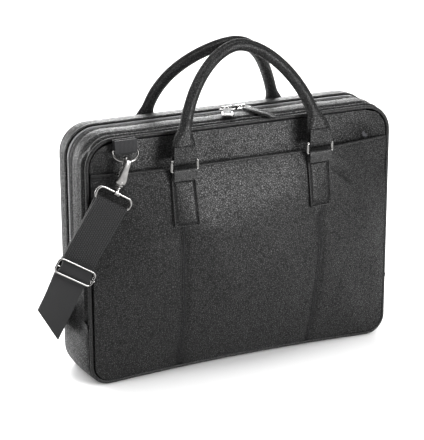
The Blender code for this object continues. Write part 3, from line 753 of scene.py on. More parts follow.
def front_face(x, z):
    """The panel behind the pocket, with a crease near its upper right corner."""
    crease = 0.0034 * dip(x - 0.166 + 0.5 * (z - 0.262), 0.012) * dip(z - 0.262, 0.020)
    edge = min(1, (HALF_WIDTH - abs(x)) / 0.02)
    return crease + FRONT_Y - bulge(x, z, FRONT_BULGE) - slouch(x + 0.05, z) * edge


def rear_face(x, z):
    edge = min(1, (HALF_WIDTH - abs(x)) / 0.03)
    return REAR_Y + bulge(x, z, REAR_BULGE) + 0.6 * slouch(-x, z) * edge


def half_width_at(z, inset):
    corner = LOWER_RADIUS if z < HEIGHT / 2 else CORNER_RADIUS
    drop = max(corner - z, z - (HEIGHT - corner), 0)
    return HALF_WIDTH - corner + max((corner - inset) ** 2 - drop**2, 0) ** 0.5


def leather_panel(name, face, low, high, inset, inside, columns, rows):
    """A panel that follows face(x, z) inside the bag's rounded outline."""

    def place(u, v):
        # rows crowd together in the round corners
        ease = v - 0.045 * sin(2 * pi * v)
        z = low + (high - low) * ease
        half = half_width_at(z, inset)
        x = (2 * u - 1) * half
        y = face(x, z)
        return Vector((x, y, z + base_rise(x, z, y)))

    piece = surface(name, columns, rows, place)
    return thicken(piece, LEATHER, inside)


class BRIEFCASE_OT_panels(bpy.types.Operator):
    """Model the pocket panel, the front panel behind it and the rear panel"""

    bl_idname = "briefcase.panels"
    bl_label = "Panels"

    def execute(self, context):
        low = PANEL_INSET
        front = leather_panel("front_leather", front_face, low, HEIGHT - low, low, Y, 90, 60)
        dress(front, "leather", "front_shell", ("front_panel",))
        edge = REAR_PANEL_INSET
        rear = leather_panel("rear_leather", rear_face, edge, HEIGHT - edge, edge, -Y, 90, 60)
        dress(rear, "leather", "bag", ("rear_panel",))
        pocket = leather_panel("pocket_leather", pocket_face, low, POCKET_HIGH.z, low, Y, 180, 130)
        dress(pocket, "leather", "front_shell", ("front_pocket_panel",))
        self.pocket_hem()
        self.pocket_stitches()
        return {"FINISHED"}

    def pocket_hem(self):
        """The turned edge along the pocket's mouth."""
        points = []
        for i in range(121):
            x = (i / 60 - 1) * (HALF_WIDTH - 0.0068)
            y = pocket_face(x, POCKET_HIGH.z) + LEATHER / 2 - 0.0006
            points.append(Vector((x, y, POCKET_HIGH.z - 0.0003)))
        hem = tube("pocket_hem", points, HEM_RADIUS, 10)
        dress(hem, "smooth_leather", "front_shell")

    def pocket_stitches(self):
        z = POCKET_HIGH.z - 0.0048
        across = [(i / 60 - 1) * (HALF_WIDTH - 0.008) for i in range(121)]
        places = stitch_line([Vector((x, pocket_face(x, z), z)) for x in across], [-Y] * 120)
        for side in (-1, 1):
            for offset in (-SEAM_SPREAD, SEAM_SPREAD):
                places += stitch_line(self.seam_path(side, offset, 0.008, 0.010), [-Y] * 60)
        sew("pocket_stitches", places, "front_shell")
        for side, word in ((-1, "left"), (1, "right")):
            for look, offset in (("tape", 0.0008), ("smooth_leather", -0.0009)):
                path = self.seam_path(side, offset, 0.0075, 0.008)
                seam = tube(f"pocket_seam_{word}_{look}", path, 0.0009, 8)
                dress(seam, look, "front_shell")

    def seam_path(self, side, offset, foot, spare):
        """A line beside one of the upright seams, from its foot to the stitched tab."""
        points = []
        for i in range(61):
            level = foot + (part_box("handle_tab_front_left")[0].z - spare) * i / 60
            x = side * seam_x(level) + offset
            y = pocket_face(x, level)
            points.append(Vector((x, y, level + base_rise(x, level, y))))
        return points


class BRIEFCASE_OT_gussets(bpy.types.Operator):
    """Model the gusset bands, the lower gusset and the two pipings"""

    bl_idname = "briefcase.gussets"
    bl_label = "Gussets"

    def execute(self, context):
        low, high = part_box("rear_gusset")
        start = GUSSET_LOW.y - 0.001
        end = high.y + 0.001
        front = self.band("front_gusset_leather", "upper", start, GUSSET_HIGH.y + 0.001, self.front_profile)
        dress(front, "leather", "front_shell", ("front_gusset",))
        rear = self.band("rear_gusset_leather", "upper", low.y - 0.004, end, self.rear_profile)
        dress(rear, "leather", "bag", ("rear_gusset",))
        lower = self.band("lower_gusset_leather", "lower", start, end, self.lower_profile)
        dress(lower, "leather", None, ("lower_gusset",))
        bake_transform(lower)
        for name, side, body in SHELLS:
            y = FRONT_Y if side < 0 else REAR_Y
            points = []
            for place, _ in outline(WELT_INSET, "loop", 0.005):
                height = base_rise(place.x, place.z, y) if name == "front" else 0
                points.append(place + Y * y + Z * (height + 0.0002))
            welt = tube(f"{name}_welt", points, WELT_RADIUS, 12, closed=True)
            dress(welt, "smooth_leather", body, (f"{name}_piping",))
        return {"FINISHED"}

    def band(self, name, part, front, rear, profile):
        """A band of leather round the outline, with its own cross section."""
        stations = outline(0.0, part, 0.004)
        last = len(stations) - 1

        def place(u, v):
            centre, out = stations[round(v * last)]
            y = front + (rear - front) * u
            rise = profile(u, centre, out)
            height = base_rise(centre.x, centre.z, y)
            return centre + out * rise + Y * y + Z * height

        piece = surface(name, 28, last, place)
        return thicken(piece, GUSSET_LEATHER, -stations[last // 2][1])

    def front_profile(self, u, centre, out):
        """A groove behind the piping, a narrow roll, a soft fold, then a broad band up to the zip."""
        sideways = abs(out.x) * smoothstep(HEIGHT, HEIGHT - 0.03, centre.z)
        on_top = 0.0008 * dip(u - 0.15, 0.10) - 0.0030 * dip(u - 0.04, 0.07) - 0.0034 * dip(u - 0.30, 0.15)
        on_sides = 0.0008 * dip(u - 0.45, 0.16) - 0.0068 * dip(u - 0.13, 0.13)
        crown = 0.0014 * dip(u - 0.66, 0.30) + 0.0009 * dip(u - 0.97, 0.06) - 0.0012 * dip(u - 0.86, 0.07)
        wave = 0.0003 * sin(70 * centre.x + 45 * centre.z)
        return on_top * (1 - sideways) + on_sides * sideways + crown + wave

    def rear_profile(self, u, centre, out):
        """The rear band stands behind the zip with a rolled edge."""
        lip = 0.0016 * dip(u - 0.10, 0.22)
        crown = 0.0018 * sin(pi * u)
        groove = -0.0020 * dip(u - 0.95, 0.10)
        return lip + crown + groove

    def lower_profile(self, u, centre, out):
        """Flat underneath; on the sides full near the floor, slack above it, with a lip at the seam."""
        sideways = abs(out.x)
        slack = -0.0045 * sin(pi * u) ** 1.5 * sideways * smoothstep(0.03, 0.07, centre.z)
        roll = 0.0008 * sin(pi * u) * sideways
        lip = 0.0018 * smoothstep(ZIP_END - 0.0075, ZIP_END - 0.0025, centre.z)
        near_floor = smoothstep(0.0, 0.035, centre.z) * (1 - smoothstep(0.058, ZIP_END, centre.z))
        full = 0.0068 * sin(pi * u) ** 0.6 * sideways * near_floor
        return slack + roll + lip + full


class BRIEFCASE_OT_zip(bpy.types.Operator):
    """Model the zip's tapes, teeth, sliders, links and pulls"""

    bl_idname = "briefcase.zip"
    bl_label = "Zip"

    def execute(self, context):
        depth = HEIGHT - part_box("zip_teeth_front")[1].z
        for name, side, body in SHELLS:
            tooth = block((0.0010, 0.0034, 0.0018), 0.0003, 1)
            places = []
            stations = outline(depth - 0.0002, "upper", TOOTH_PITCH)
            for (start, way), (end, _) in zip(stations, stations[1:]):
                if side > 0:
                    start = start.lerp(end, 0.5)
                centre = start + Y * (ZIP_Y + side * 0.0011)
                places.append(basis(end - start, way, centre))
            teeth = copies(f"{name}_teeth", tooth, places)
            dress(teeth, "teeth", body, (f"zip_teeth_{name}",))
        self.tapes()
        for hand in ("left", "right"):
            dress(NODES[f"slider_{hand}"], "metal")
            dress(NODES[f"pull_link_{hand}"], "metal")
        self.right_pull()
        self.left_pull()
        return {"FINISHED"}

    def tapes(self):
        """The woven tape beside each row of teeth."""
        for name, side, body in SHELLS:
            near = ZIP_Y + side * 0.0027
            stations = outline(0.0012, "upper", 0.005)
            rows = [(place + Y * near, place + Y * (near + side * 0.0100)) for place, _ in stations]
            tape = ribbon(f"{name}_tape", rows, 0.0008, 10)
            dress(tape, "tape", body, (f"zip_tape_{name}",))

    def tongue(self, name, points, sides, half, thickness, round_end):
        """A flat leather tongue with a rounded tip."""
        last = len(points) - 1

        def place(u, v):
            i = round(v * last)
            left = (points[-1] - points[i]).length
            reach = half * (1 - max(0, 1 - left / round_end) ** 2) ** 0.5 if left < round_end else half
            return points[i] + sides[i] * (2 * u - 1) * max(reach, 0.0004)

        piece = surface(name, 10, last, place)
        modify(piece, "SOLIDIFY", thickness=thickness, offset=0.0)
        soften(piece, 0.0005)
        shade_smooth()
        return piece

    def right_pull(self):
        pivot = Vector(JOINTS["right_pull_lift"]["pos_m"])
        offsets = [(0.0021, -0.0106, -0.0012), (0.0050, -0.0240, -0.0012), (0.0100, -0.0400, -0.0016),
                   (0.0140, -0.0500, -0.0024), (0.0175, -0.0570, -0.0048)]
        points = smooth_points([pivot + Vector(offset) for offset in offsets], 8)
        sides = [along.cross(Z).normalized() for _, along, _, _ in steer(points, False, Y)]
        pull = self.tongue("right_pull_leather", points, sides, 0.0052, 0.0026, 0.005)
        dress(pull, "leather", "right_pull", ("pull_right",))
        places = []
        for edge in (-0.0038, 0.0038):
            line = [point + side * edge + Z * 0.0014 for point, side in zip(points[2:-4], sides[2:-4])]
            places += stitch_line(line, [Z] * len(line))
        sew("right_pull_stitches", places, "right_pull")

    def left_pull(self):
        """A short leather tongue that carries a metal frame with a plain plate in it."""
        pivot = Vector(JOINTS["left_pull_lift"]["pos_m"])
        ahead = Vector((-0.4067, -0.9135, 0))
        across = Vector((0.9135, -0.4067, 0))
        start = pivot + ahead * 0.0106 - Z * 0.0004
        points = [start + ahead * 0.001 * i - Z * 0.00002 * i for i in range(20)]
        pull = self.tongue("left_pull_leather", points, [across] * 20, 0.0048, 0.0022, 0.004)
        dress(pull, "leather", "left_pull", ("pull_left",))
        middle = start + ahead * 0.0215 - Z * 0.0004
        corners = [middle + across * x + ahead * y for x, y in
                   ((-0.0058, -0.0085), (0.0058, -0.0085), (0.0058, 0.0085), (-0.0058, 0.0085))]
        border = tube("left_pull_frame", rounded(corners, share=0.16), 0.0012, 10, closed=True, across=Z)
        dress(border, "metal", "left_pull")

        def flat_rows(centre, length, half):
            """Rows of a flat strip that lies along the pull."""
            spots = [centre + ahead * (i / 8 - 0.5) * length for i in range(9)]
            return [(spot - across * half, spot + across * half) for spot in spots]

        plate = ribbon("left_pull_plate", flat_rows(middle, 0.0120, 0.0040), 0.0018, 4)
        soften(plate, 0.0005)
        dress(plate, "bright_metal", "left_pull")
        backing = ribbon("left_pull_backing", flat_rows(middle - Z * 0.0003, 0.0160, 0.0054), 0.0010, 4)
        dress(backing, "smooth_leather", "left_pull")


class BRIEFCASE_OT_handles(bpy.types.Operator):
    """Model the grips, their folded ends, the rings, loops and stitched tabs"""

    bl_idname = "briefcase.handles"
    bl_label = "Handles"

    def execute(self, context):
        for name, side, shell in SHELLS:
            self.grip(name, side)
            for hand, sign in (("left", -1), ("right", 1)):
                self.fittings(name, side, f"{name}_{hand}", sign, shell)
        return {"FINISHED"}

    def grip(self, name, side):
        """The round grip, flattened at its feet, with a stitched seam on its underside."""
        hang = Vector(JOINTS[f"{name}_handle_swing"]["pos_m"])
        low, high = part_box(f"handle_{name}")
        radius = GRIP_RADIUS
        apex_y = {"front": high.y, "rear": low.y}[name] + side * radius
        rise = high.z - radius - hang.z
        start = low.z - hang.z
        foot = start + 0.0100
        power = {"front": 1.3, "rear": 2.6}[name]
        steps = 110
        centres = []
        for i in range(steps + 1):
            angle = pi * i / steps
            along = HANDLE_X * abs(cos(angle)) ** (2 / 1.75)
            up = start + (rise - start) * abs(sin(angle)) ** (2 / 1.75)
            back = (apex_y - hang.y) * (up / rise) ** power
            if up > foot - 0.0012:
                centres.append(hang + Vector((along * (1 if angle < pi / 2 else -1), back, up)))
        path = steer(centres, False, Y)
        last = len(path) - 1

        def section(i, angle):
            centre, _, square, out = path[i]
            height = centre.z - hang.z - foot
            share = smoothstep(0.0, 0.024, height)
            wide = FOOT_HALF_WIDTH + (radius - FOOT_HALF_WIDTH) * share
            thick = FOOT_HALF_DEPTH + (radius - FOOT_HALF_DEPTH) * share
            # the leather's edges are sewn together in a ridge under the grip
            ridge = 0.0011 * dip(angle - pi, 0.42) * share
            seams = [dip(angle - pi + turn, 0.22) for turn in (GRIP_SEAM_ANGLE, -GRIP_SEAM_ANGLE)]
            pinch = -0.0007 * sum(seams) * share
            # two soft channels run up from each foot
            flat = 0.0012 * (1 - share) * sin(angle) ** 2 * dip(cos(angle), 0.5)
            puff = ridge + pinch
            return centre + out * (wide + puff) * cos(angle) + square * (thick + puff - flat) * sin(angle)

        def place(u, v):
            return section(round(v * last), 2 * pi * u)

        piece = close(surface(f"{name}_grip", 40, last, place))
        dress(piece, "leather", f"{name}_handle", (f"handle_{name}",))
        places = []
        for offset in (-GRIP_SEAM_ANGLE, GRIP_SEAM_ANGLE):
            points = [section(i, pi + offset) for i in range(8, last - 7)]
            normals = []
            for i in range(8, last - 8):
                _, _, square, out = path[i]
                normals.append((out * -cos(offset) + square * -sin(offset)).normalized())
            places += stitch_line(points, normals)
        for sign in (-1, 1):
            spot = hang + X * sign * HANDLE_X + Z * (foot + 0.0016)
            for face in (-1, 1):
                y = spot.y + face * 0.0040
                points = [Vector((spot.x + (k / 10 - 0.5) * 0.024, y, spot.z)) for k in range(11)]
                places += stitch_line(points, [Y * face] * 10)
        sew(f"{name}_grip_stitches", places, f"{name}_handle")

    def fittings(self, name, side, label, sign, shell_body):
        """One foot's ring, the two leather loops on it and the tab below."""
        ring_low, ring_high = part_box(f"handle_ring_{label}")
        wire = (ring_high.y - ring_low.y) / 2
        y = (ring_low.y + ring_high.y) / 2
        left, right = ring_low.x + wire, ring_high.x - wire
        bottom, top = ring_low.z + wire, ring_high.z - wire
        corners = [Vector((x, y, z)) for x, z in ((left, bottom), (right, bottom), (right, top), (left, top))]
        ring = tube(f"{label}_ring", rounded(corners, share=0.14), wire, 14, closed=True)
        dress(ring, "metal", f"{name}_rings", (f"handle_ring_{label}",))
        self.loop(f"ring_loop_{label}", shell_body, 1)
        self.loop(f"handle_loop_{label}", f"{name}_handle", -1)
        self.tab(label, side, sign, shell_body)

    def loop(self, node, body, upright):
        """A leather strip folded round a ring's bar; a handle's strip runs on up into its grip."""
        low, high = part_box(node)
        x = (low.x + high.x) / 2
        y = (low.y + high.y) / 2
        reach = (high.y - low.y) / 2 - LEATHER / 2
        bar = high.z - reach - LEATHER / 2 if upright > 0 else low.z + reach + LEATHER / 2
        end = low.z - 0.0015 if upright > 0 else high.z + 0.0125
        down = -Z if upright > 0 else Z
        leg = abs(bar - end)
        path = hairpin(Vector((x, y, bar)), leg, down, Y, reach)
        half = (high.x - low.x) / 2 + 0.0006
        rows = even_rows([(point - X * half, point + X * half) for point in path], 0.002)
        piece = ribbon(node + "_leather", rows, LEATHER, 12)
        soften(piece, 0.0004, 60)
        shade_smooth()
        dress(piece, "smooth_leather" if upright > 0 else "leather", body, (node,))

    def tab(self, label, side, sign, body):
        """A padded tab with a raised rim and a stitched channel round it."""
        low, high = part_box(f"handle_tab_{label}")
        face = pocket_face if side < 0 else rear_face
        centre = sign * HANDLE_X
        half = (high.x - low.x) / 2
        tall = high.z - low.z

        def edge_distance(x, z):
            """Distance inside the tab's rounded lower outline."""
            dx = half - abs(x - centre)
            dz = z - low.z
            top = high.z - z
            radius = TAB_CORNER
            if dx < radius and dz < radius:
                inside = radius - ((radius - dx) ** 2 + (radius - dz) ** 2) ** 0.5
                return min(inside, top)
            return min(dx, dz, top)

        def place(u, v):
            x = centre + (2 * u - 1) * half
            z = low.z + (high.z - low.z) * v
            # pull the lower corners in to a round
            dx, dz = half - abs(x - centre), z - low.z
            radius = TAB_CORNER
            if dx < radius and dz < radius:
                away = ((radius - dx) ** 2 + (radius - dz) ** 2) ** 0.5
                if away > radius:
                    x -= (1 if x > centre else -1) * (radius - dx) * (1 - radius / away)
                    z += (radius - dz) * (1 - radius / away)
            inside = max(edge_distance(x, z), 0)
            rim = smoothstep(-0.0002, 0.0012, inside)
            channel = 0.0012 * dip(inside - TAB_CHANNEL, 0.0014)
            rise = 0.0008 + 0.0022 * rim - channel + 0.0004 * smoothstep(0.003, 0.010, inside)
            return Vector((x, face(x, z) + side * rise, z))

        piece = surface(f"{label}_tab", 40, 64, place)
        thicken(piece, 0.0012, Y * -side)
        dress(piece, "leather", body, (f"handle_tab_{label}",))
        inset = TAB_CHANNEL
        left, right = centre - half + inset, centre + half - inset
        bottom, top = low.z + inset, high.z - 0.001
        corners = [Vector((x, 0, z)) for x, z in ((left, top), (left, bottom), (right, bottom), (right, top))]
        path = rounded(corners, closed=False, steps=5, share=0.07)
        border = []
        for spot in path:
            x = centre + (spot.x - centre) * (half - 0.0007) / (half - inset)
            z = low.z + 0.0007 + (spot.z - low.z - inset) * (tall - 0.0014) / (tall - inset)
            border.append(Vector((x, face(x, z) + side * 0.0030, z)))
        rim = tube(f"{label}_tab_rim", border, 0.0011, 8)
        dress(rim, "smooth_leather", body)
        fine = []
        for start, end in zip(path, path[1:]):
            count = max(1, int((end - start).length / 0.004))
            fine += [start.lerp(end, k / count) for k in range(count)]
        fine.append(path[-1])
        points = [Vector((p.x, face(p.x, p.z) + side * 0.0020, p.z)) for p in fine]
        places = stitch_line(points, [Y * side] * len(points))
        sew(f"{label}_tab_stitches", places, body)


class BRIEFCASE_OT_fittings(bpy.types.Operator):
    """Model the webbing loops, D-rings, snap hooks, swivels, strap rings and the length adjuster"""

    bl_idname = "briefcase.fittings"
    bl_label = "Fittings"

    def execute(self, context):
        self.at_end("front", "front_shell", 0.0012, lambda piece: piece)
        self.at_end("rear", "bag", -0.0032, turned)
        self.adjuster()
        return {"FINISHED"}

    def at_end(self, name, shell, rise, move):
        """All fittings at one end of the strap, moved from the front left to their place."""
        loop = move(self.webbing_loop(rise))
        dress(loop, "webbing", shell, (f"d_ring_loop_{name}",))
        carrier = f"{name}_d_ring"
        for make, body, node, label in (
            (self.d_ring, carrier, "d_ring", "d_ring_wire"),
            (self.hook, f"{name}_hook", "hook", "hook_body"),
            (self.gate, f"{name}_gate", "gate", "gate_wire"),
            (self.swivel, carrier, "swivel_eye", "swivel"),
            (self.strap_ring, carrier, "strap_ring", "strap_ring_wire"),
        ):
            piece = dress(move(make()), "metal", body, (f"{node}_{name}",))
            piece.name = f"{name}_{label}"

    def webbing_loop(self, rise):
        """Ribbed webbing that comes out of the top seam and holds the D-ring's bar."""
        low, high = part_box("d_ring_loop_front")
        bar = Vector(JOINTS["front_d_ring_swing"]["pos_m"])
        reach = (high.y - low.y) / 2 - 0.0007
        path = hairpin(bar, high.z - bar.z + rise, Z, -Y, reach)
        half = (high.x - low.x) / 2
        rows = even_rows([(point - X * half, point + X * half) for point in path], 0.0016)
        return ribbon("webbing_loop", rows, 0.0016, 14)

    def d_ring(self):
        bar = Vector(JOINTS["front_d_ring_swing"]["pos_m"])
        low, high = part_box("d_ring_front")
        wire = 0.0015
        half = (high.x - low.x) / 2 - 0.0028
        fall = Vector((0, low.y + wire - bar.y, low.z + wire - bar.z))
        points = [bar + X * (half * 0.96 - 2 * half * 0.96 * i / 8) for i in range(9)]
        for i in range(31):
            angle = pi * i / 30
            points.append(bar - X * half * cos(angle) + fall * (0.24 + 0.76 * sin(angle)))
        return tube("d_ring_wire", points, wire, 14, closed=True, across=fall.cross(X).normalized())

    def lines(self):
        """The hook's crown and its directions along, across and back."""
        crown = Vector(JOINTS["front_hook_swivel"]["pos_m"])
        fall = Vector(JOINTS["front_hook_swivel"]["axis"]).normalized()
        across = Y.cross(fall).normalized()
        return crown, fall, -across if across.x < 0 else across

    def hook(self):
        """A flat tapered body that bends over the D-ring, on a turned collar."""
        crown, fall, across = self.lines()
        bow = HOOK_BOW
        end = crown + fall * 0.0270
        middle = crown + fall * bow
        stops = [(end + fall * 0.0015 - Y * 0.0020, 0.0124, 0.0060), (end - Y * 0.0034, 0.0120, 0.0052)]
        for i in range(1, 7):
            share = i / 7
            spot = end.lerp(middle + fall * bow, share) - Y * (0.0034 + 0.0010 * share)
            stops.append((spot, 0.0116 - 0.0040 * smoothstep(0.0, 0.9, share), 0.0046 - 0.0012 * share))
        for i in range(13):
            angle = pi * i / 12
            spot = middle - Y * bow * cos(angle) - fall * bow * sin(angle)
            stops.append((spot, 0.0076 - 0.0010 * i / 12, 0.0034))
        stops.append((middle + Y * bow + fall * 0.0034, 0.0060, 0.0030))
        stops.append((middle + Y * bow + fall * 0.0048, 0.0044, 0.0022))
        path = steer([stop[0] for stop in stops], False, across)
        last = len(stops) - 1

        def place(u, v):
            i = round(v * last)
            centre, _, side, other = path[i]
            angle = 2 * pi * u
            _, wide, thick = stops[i]
            x = abs(cos(angle)) ** 0.55 * (1 if cos(angle) > 0 else -1)
            y = abs(sin(angle)) ** 0.75 * (1 if sin(angle) > 0 else -1)
            return centre + side * wide / 2 * x + other * thick / 2 * y

        body = close(surface("hook_body", 24, last, place))
        profile = [(-0.0010, 0.0030), (-0.0008, 0.0050), (0.0004, 0.0058), (0.0018, 0.0058), (0.0024, 0.0044)]
        profile += [(0.0044, 0.0042), (0.0048, 0.0052), (0.0062, 0.0052), (0.0067, 0.0044), (0.0070, 0.0030)]
        collar = lathe("hook_collar", end, fall, profile, 28)
        return join("hook_body", [body, collar])

    def gate(self):
        """A sprung wire lever with a thumb stud, from the collar up to the hook's tip."""
        crown, fall, across = self.lines()
        pivot = Vector(JOINTS["front_gate"]["pos_m"])
        tip = crown + fall * 0.0102 + Y * HOOK_BOW
        bowed = pivot.lerp(tip, 0.45) - across * 0.0030
        wire = tube("gate_wire", smooth_points([pivot, bowed, tip], 10), 0.0011)
        stud = pivot.lerp(tip, 0.30) - across * 0.0026
        profile = [(0.0, 0.0008), (0.0004, 0.0014), (0.0024, 0.0014)]
        profile += [(0.0028, 0.0022), (0.0036, 0.0022), (0.0040, 0.0012)]
        knob = lathe("gate_stud", stud, -across, profile, 14)
        return join("gate_wire", [wire, knob])

    def swivel(self):
        """A stem and a barrel that clamps the strap ring's top bar."""
        crown, fall, _ = self.lines()
        stem = crown + fall * 0.0344
        wide, _ = strap_lines()
        bar = stem + fall * 0.0074
        profile = [(0.0, 0.0028), (0.0006, 0.0034), (0.0016, 0.0034)]
        profile += [(0.0022, 0.0022), (0.0050, 0.0022), (0.0064, 0.0030)]
        post = lathe("swivel_stem", stem, fall, profile, 20)
        profile = [(0.0, 0.0020), (0.0003, 0.0036), (0.0014, 0.0036), (0.0017, 0.0030), (0.0053, 0.0030)]
        profile += [(0.0056, 0.0036), (0.0067, 0.0036), (0.0070, 0.0020)]
        barrel = lathe("swivel_barrel", bar - wide * 0.0035, wide, profile, 20)
        return join("swivel", [post, barrel])

    def strap_ring(self):
        """A thin rectangular ring with generous round corners."""
        wire = 0.0016
        middle = middle_of("strap_ring_front")
        return tube("strap_ring_wire", round_frame(middle, 0.0250 - wire, 0.0090 - wire, 0.0066), wire,
                    closed=True)

    def adjuster(self):
        """A wire frame with round corners and a sliding middle bar whose ends stick out."""
        wide, run = strap_lines()
        middle = middle_of("adjuster")
        path = round_frame(middle, 0.0250, 0.0084, 0.0048)
        frame_wire = tube("adjuster_frame", path, 0.0013, closed=True)
        profile = [(0.0, 0.0006), (0.0003, 0.0009), (0.0020, 0.0010), (0.0260, 0.0010)]
        profile += [(0.0500, 0.0010), (0.0504, 0.0014), (0.0517, 0.0014), (0.0520, 0.0006)]
        bar = lathe("adjuster_bar", middle - wide * 0.0252 + run * 0.0010, wide, profile, 14)
        dress(join("adjuster_frame", [frame_wire, bar]), "metal", "strap_adjuster", ("adjuster",))


def strap_lines():
    """Across and along the strap where it hangs from the front hook."""
    run = Vector(JOINTS["adjuster_slide"]["axis"]).normalized()
    return Vector((-run.z, 0, run.x)), run


def round_frame(middle, half_wide, half_high, radius):
    """A rectangle with round corners that lies in the strap's plane."""
    wide, run = strap_lines()
    signs = ((-1, -1), (1, -1), (1, 1), (-1, 1))
    corners = [middle + wide * x * half_wide + run * y * half_high for x, y in signs]
    path = []
    for i, corner in enumerate(corners):
        before = (corners[i - 1] - corner).normalized()
        after = (corners[(i + 1) % 4] - corner).normalized()
        centre = corner + (before + after) * radius
        for k in range(9):
            angle = pi / 2 * k / 8
            path.append(centre - after * radius * cos(angle) - before * radius * sin(angle))
    return path


def even_rows(rows, step):
    """The same ribbon with rows at least every step."""
    full = []
    for (a, b), (c, d) in zip(rows, rows[1:]):
        count = max(1, round(max((c - a).length, (d - b).length) / step))
        full += [(a.lerp(c, k / count), b.lerp(d, k / count)) for k in range(count)]
    full.append(rows[-1])
    return full


def smooth_rows(rows, steps=8):
    """A smooth ribbon through a few rows."""
    lefts = smooth_points([row[0] for row in rows], steps)
    rights = smooth_points([row[1] for row in rows], steps)
    return list(zip(lefts, rights))


class BRIEFCASE_OT_strap(bpy.types.Operator):
    """Model the shoulder strap: doubled part, window in the adjuster, single run, back and rear end"""

    bl_idname = "briefcase.strap"
    bl_label = "Strap"

    def execute(self, context):
        self.width = STRAP_WIDTH
        self.wide, self.run = strap_lines()
        self.middle = middle_of("adjuster")
        self.bar = middle_of("strap_ring_front") + self.run * 0.0072
        self.doubled()
        self.window()
        fold = self.single()
        self.behind(fold)
        return {"FINISHED"}

    def row(self, centre, width=STRAP_WIDTH):
        side = self.wide * width / 2
        return centre - side, centre + side

    def doubled(self):
        """Up behind, round the ring's lower bar and down in front, to just under the adjuster."""
        bar = self.bar
        reach = STRAP_TURN
        length = (self.middle - bar).dot(self.run)
        rear = [(length - 0.002, 0.0028), (length - 0.026, 0.0028), (length * 0.45, 0.0014), (0.014, 0.0014)]
        turn = []
        for i in range(13):
            angle = pi * i / 12
            turn.append((-reach * sin(angle), reach * cos(angle)))
        front = [(0.014, -0.0016), (length * 0.40, -0.0006), (length - 0.028, 0.0010), (length - 0.005, 0.0010)]
        path = [bar + self.run * down + Y * back for down, back in rear + turn + front]
        rows = even_rows([self.row(point) for point in path], 0.003)
        strap = ribbon("strap_doubled", rows, 0.0016, 10)
        dress(strap, "strap", None, ("strap_front_loop",))
        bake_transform(strap)

    def window(self):
        """The layer that shows inside the adjuster, over its middle bar."""
        offsets = [(-0.0125, 0.0021), (-0.0084, 0.0021), (-0.0050, 0.0002), (-0.0015, -0.0018),
                   (0.0020, -0.0020), (0.0052, 0.0001), (0.0084, 0.0022), (0.0130, 0.0024)]
        path = smooth_points([self.middle + self.run * along + Y * back for along, back in offsets], 5)
        piece = ribbon("strap_window", [self.row(point, WINDOW_WIDTH) for point in path], 0.0013, 10)
        dress(piece, "fine_strap", "strap_adjuster", ())

    def single(self):
        """From behind the adjuster, straight on past the bag's left side to a slanting fold."""
        start = self.middle - self.run * 0.008 + Y * 0.0078
        first = self.row(start, 0.0416)
        second = self.row(self.middle + self.run * 0.012 + Y * 0.0046, 0.0416)
        fold = (Vector((-0.2545, -0.0200, 0.0998)), Vector((-0.2305, -0.0200, 0.0583)))
        share = 0.55
        third = (second[0].lerp(fold[0], share) - Y * 0.001, second[1].lerp(fold[1], share) - Y * 0.001)
        near = (second[0].lerp(fold[0], 0.88), second[1].lerp(fold[1], 0.88))
        rows = smooth_rows([first, second, third, near, fold], 8)
        piece = ribbon("strap_single", rows, 0.0015, 12)
        dress(piece, "fine_strap", None, ("strap_run",))
        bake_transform(piece)
        return fold

    def behind(self, fold):
        """From the fold on its edge behind the bag, in two long bends, then up to the rear ring."""
        back = REAR_FACE
        left, right = -HALF_WIDTH, HALF_WIDTH
        half = self.width / 2
        low = half + 0.001
        stops = [
            (-0.2250, -0.0020, 0.0775),
            (-0.2200, 0.0180, 0.0770),
            (-0.2050, 0.0500, 0.0690),
            (left + 0.020, back + 0.018, 0.0560),
            (left + 0.080, back + 0.010, half + 0.009),
            (0.0, back + 0.008, low),
            (right - 0.070, back + 0.012, low),
            (right - 0.050, back + 0.022, low),
            (right - 0.075, back + 0.032, low),
            (0.0, back + 0.027, low),
            (left + 0.100, back + 0.030, low),
            (left + 0.080, back + 0.040, low),
            (left + 0.105, back + 0.050, low),
            (right - 0.140, back + 0.050, low),
        ]
        mirror = Vector((-1, 1, 1))
        wide = self.wide * mirror
        run = self.run * mirror
        bar = Vector((-self.bar.x, -self.bar.y, self.bar.z))
        rising = [
            (Vector((right - 0.060, back + 0.045, half + 0.006)), (Z * 0.7 - X * 0.45).normalized()),
            (Vector((right - 0.012, back + 0.034, 0.062)), (Z * 0.5 - X * 0.8).normalized()),
            (bar + run * 0.070 + Y * 0.008, wide),
            (bar + run * 0.024 + Y * STRAP_TURN, wide),
        ]
        spots = [(Vector(stop), Z) for stop in stops] + rising
        rows = [fold] + [(centre + way * half, centre - way * half) for centre, way in spots]
        rows = smooth_rows(rows, 7)
        piece = ribbon("strap_behind", rows, 0.0015, 10)
        dress(piece, "fine_strap", None, ("strap_back",))
        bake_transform(piece)
        path = hairpin(bar, 0.026, run, Y, STRAP_TURN)
        rows = even_rows([(p - wide * half, p + wide * half) for p in path], 0.003)
        loop = ribbon("strap_rear_fold", rows, 0.0016, 10)
        dress(loop, "strap", "rear_d_ring", ("strap_rear_loop",))


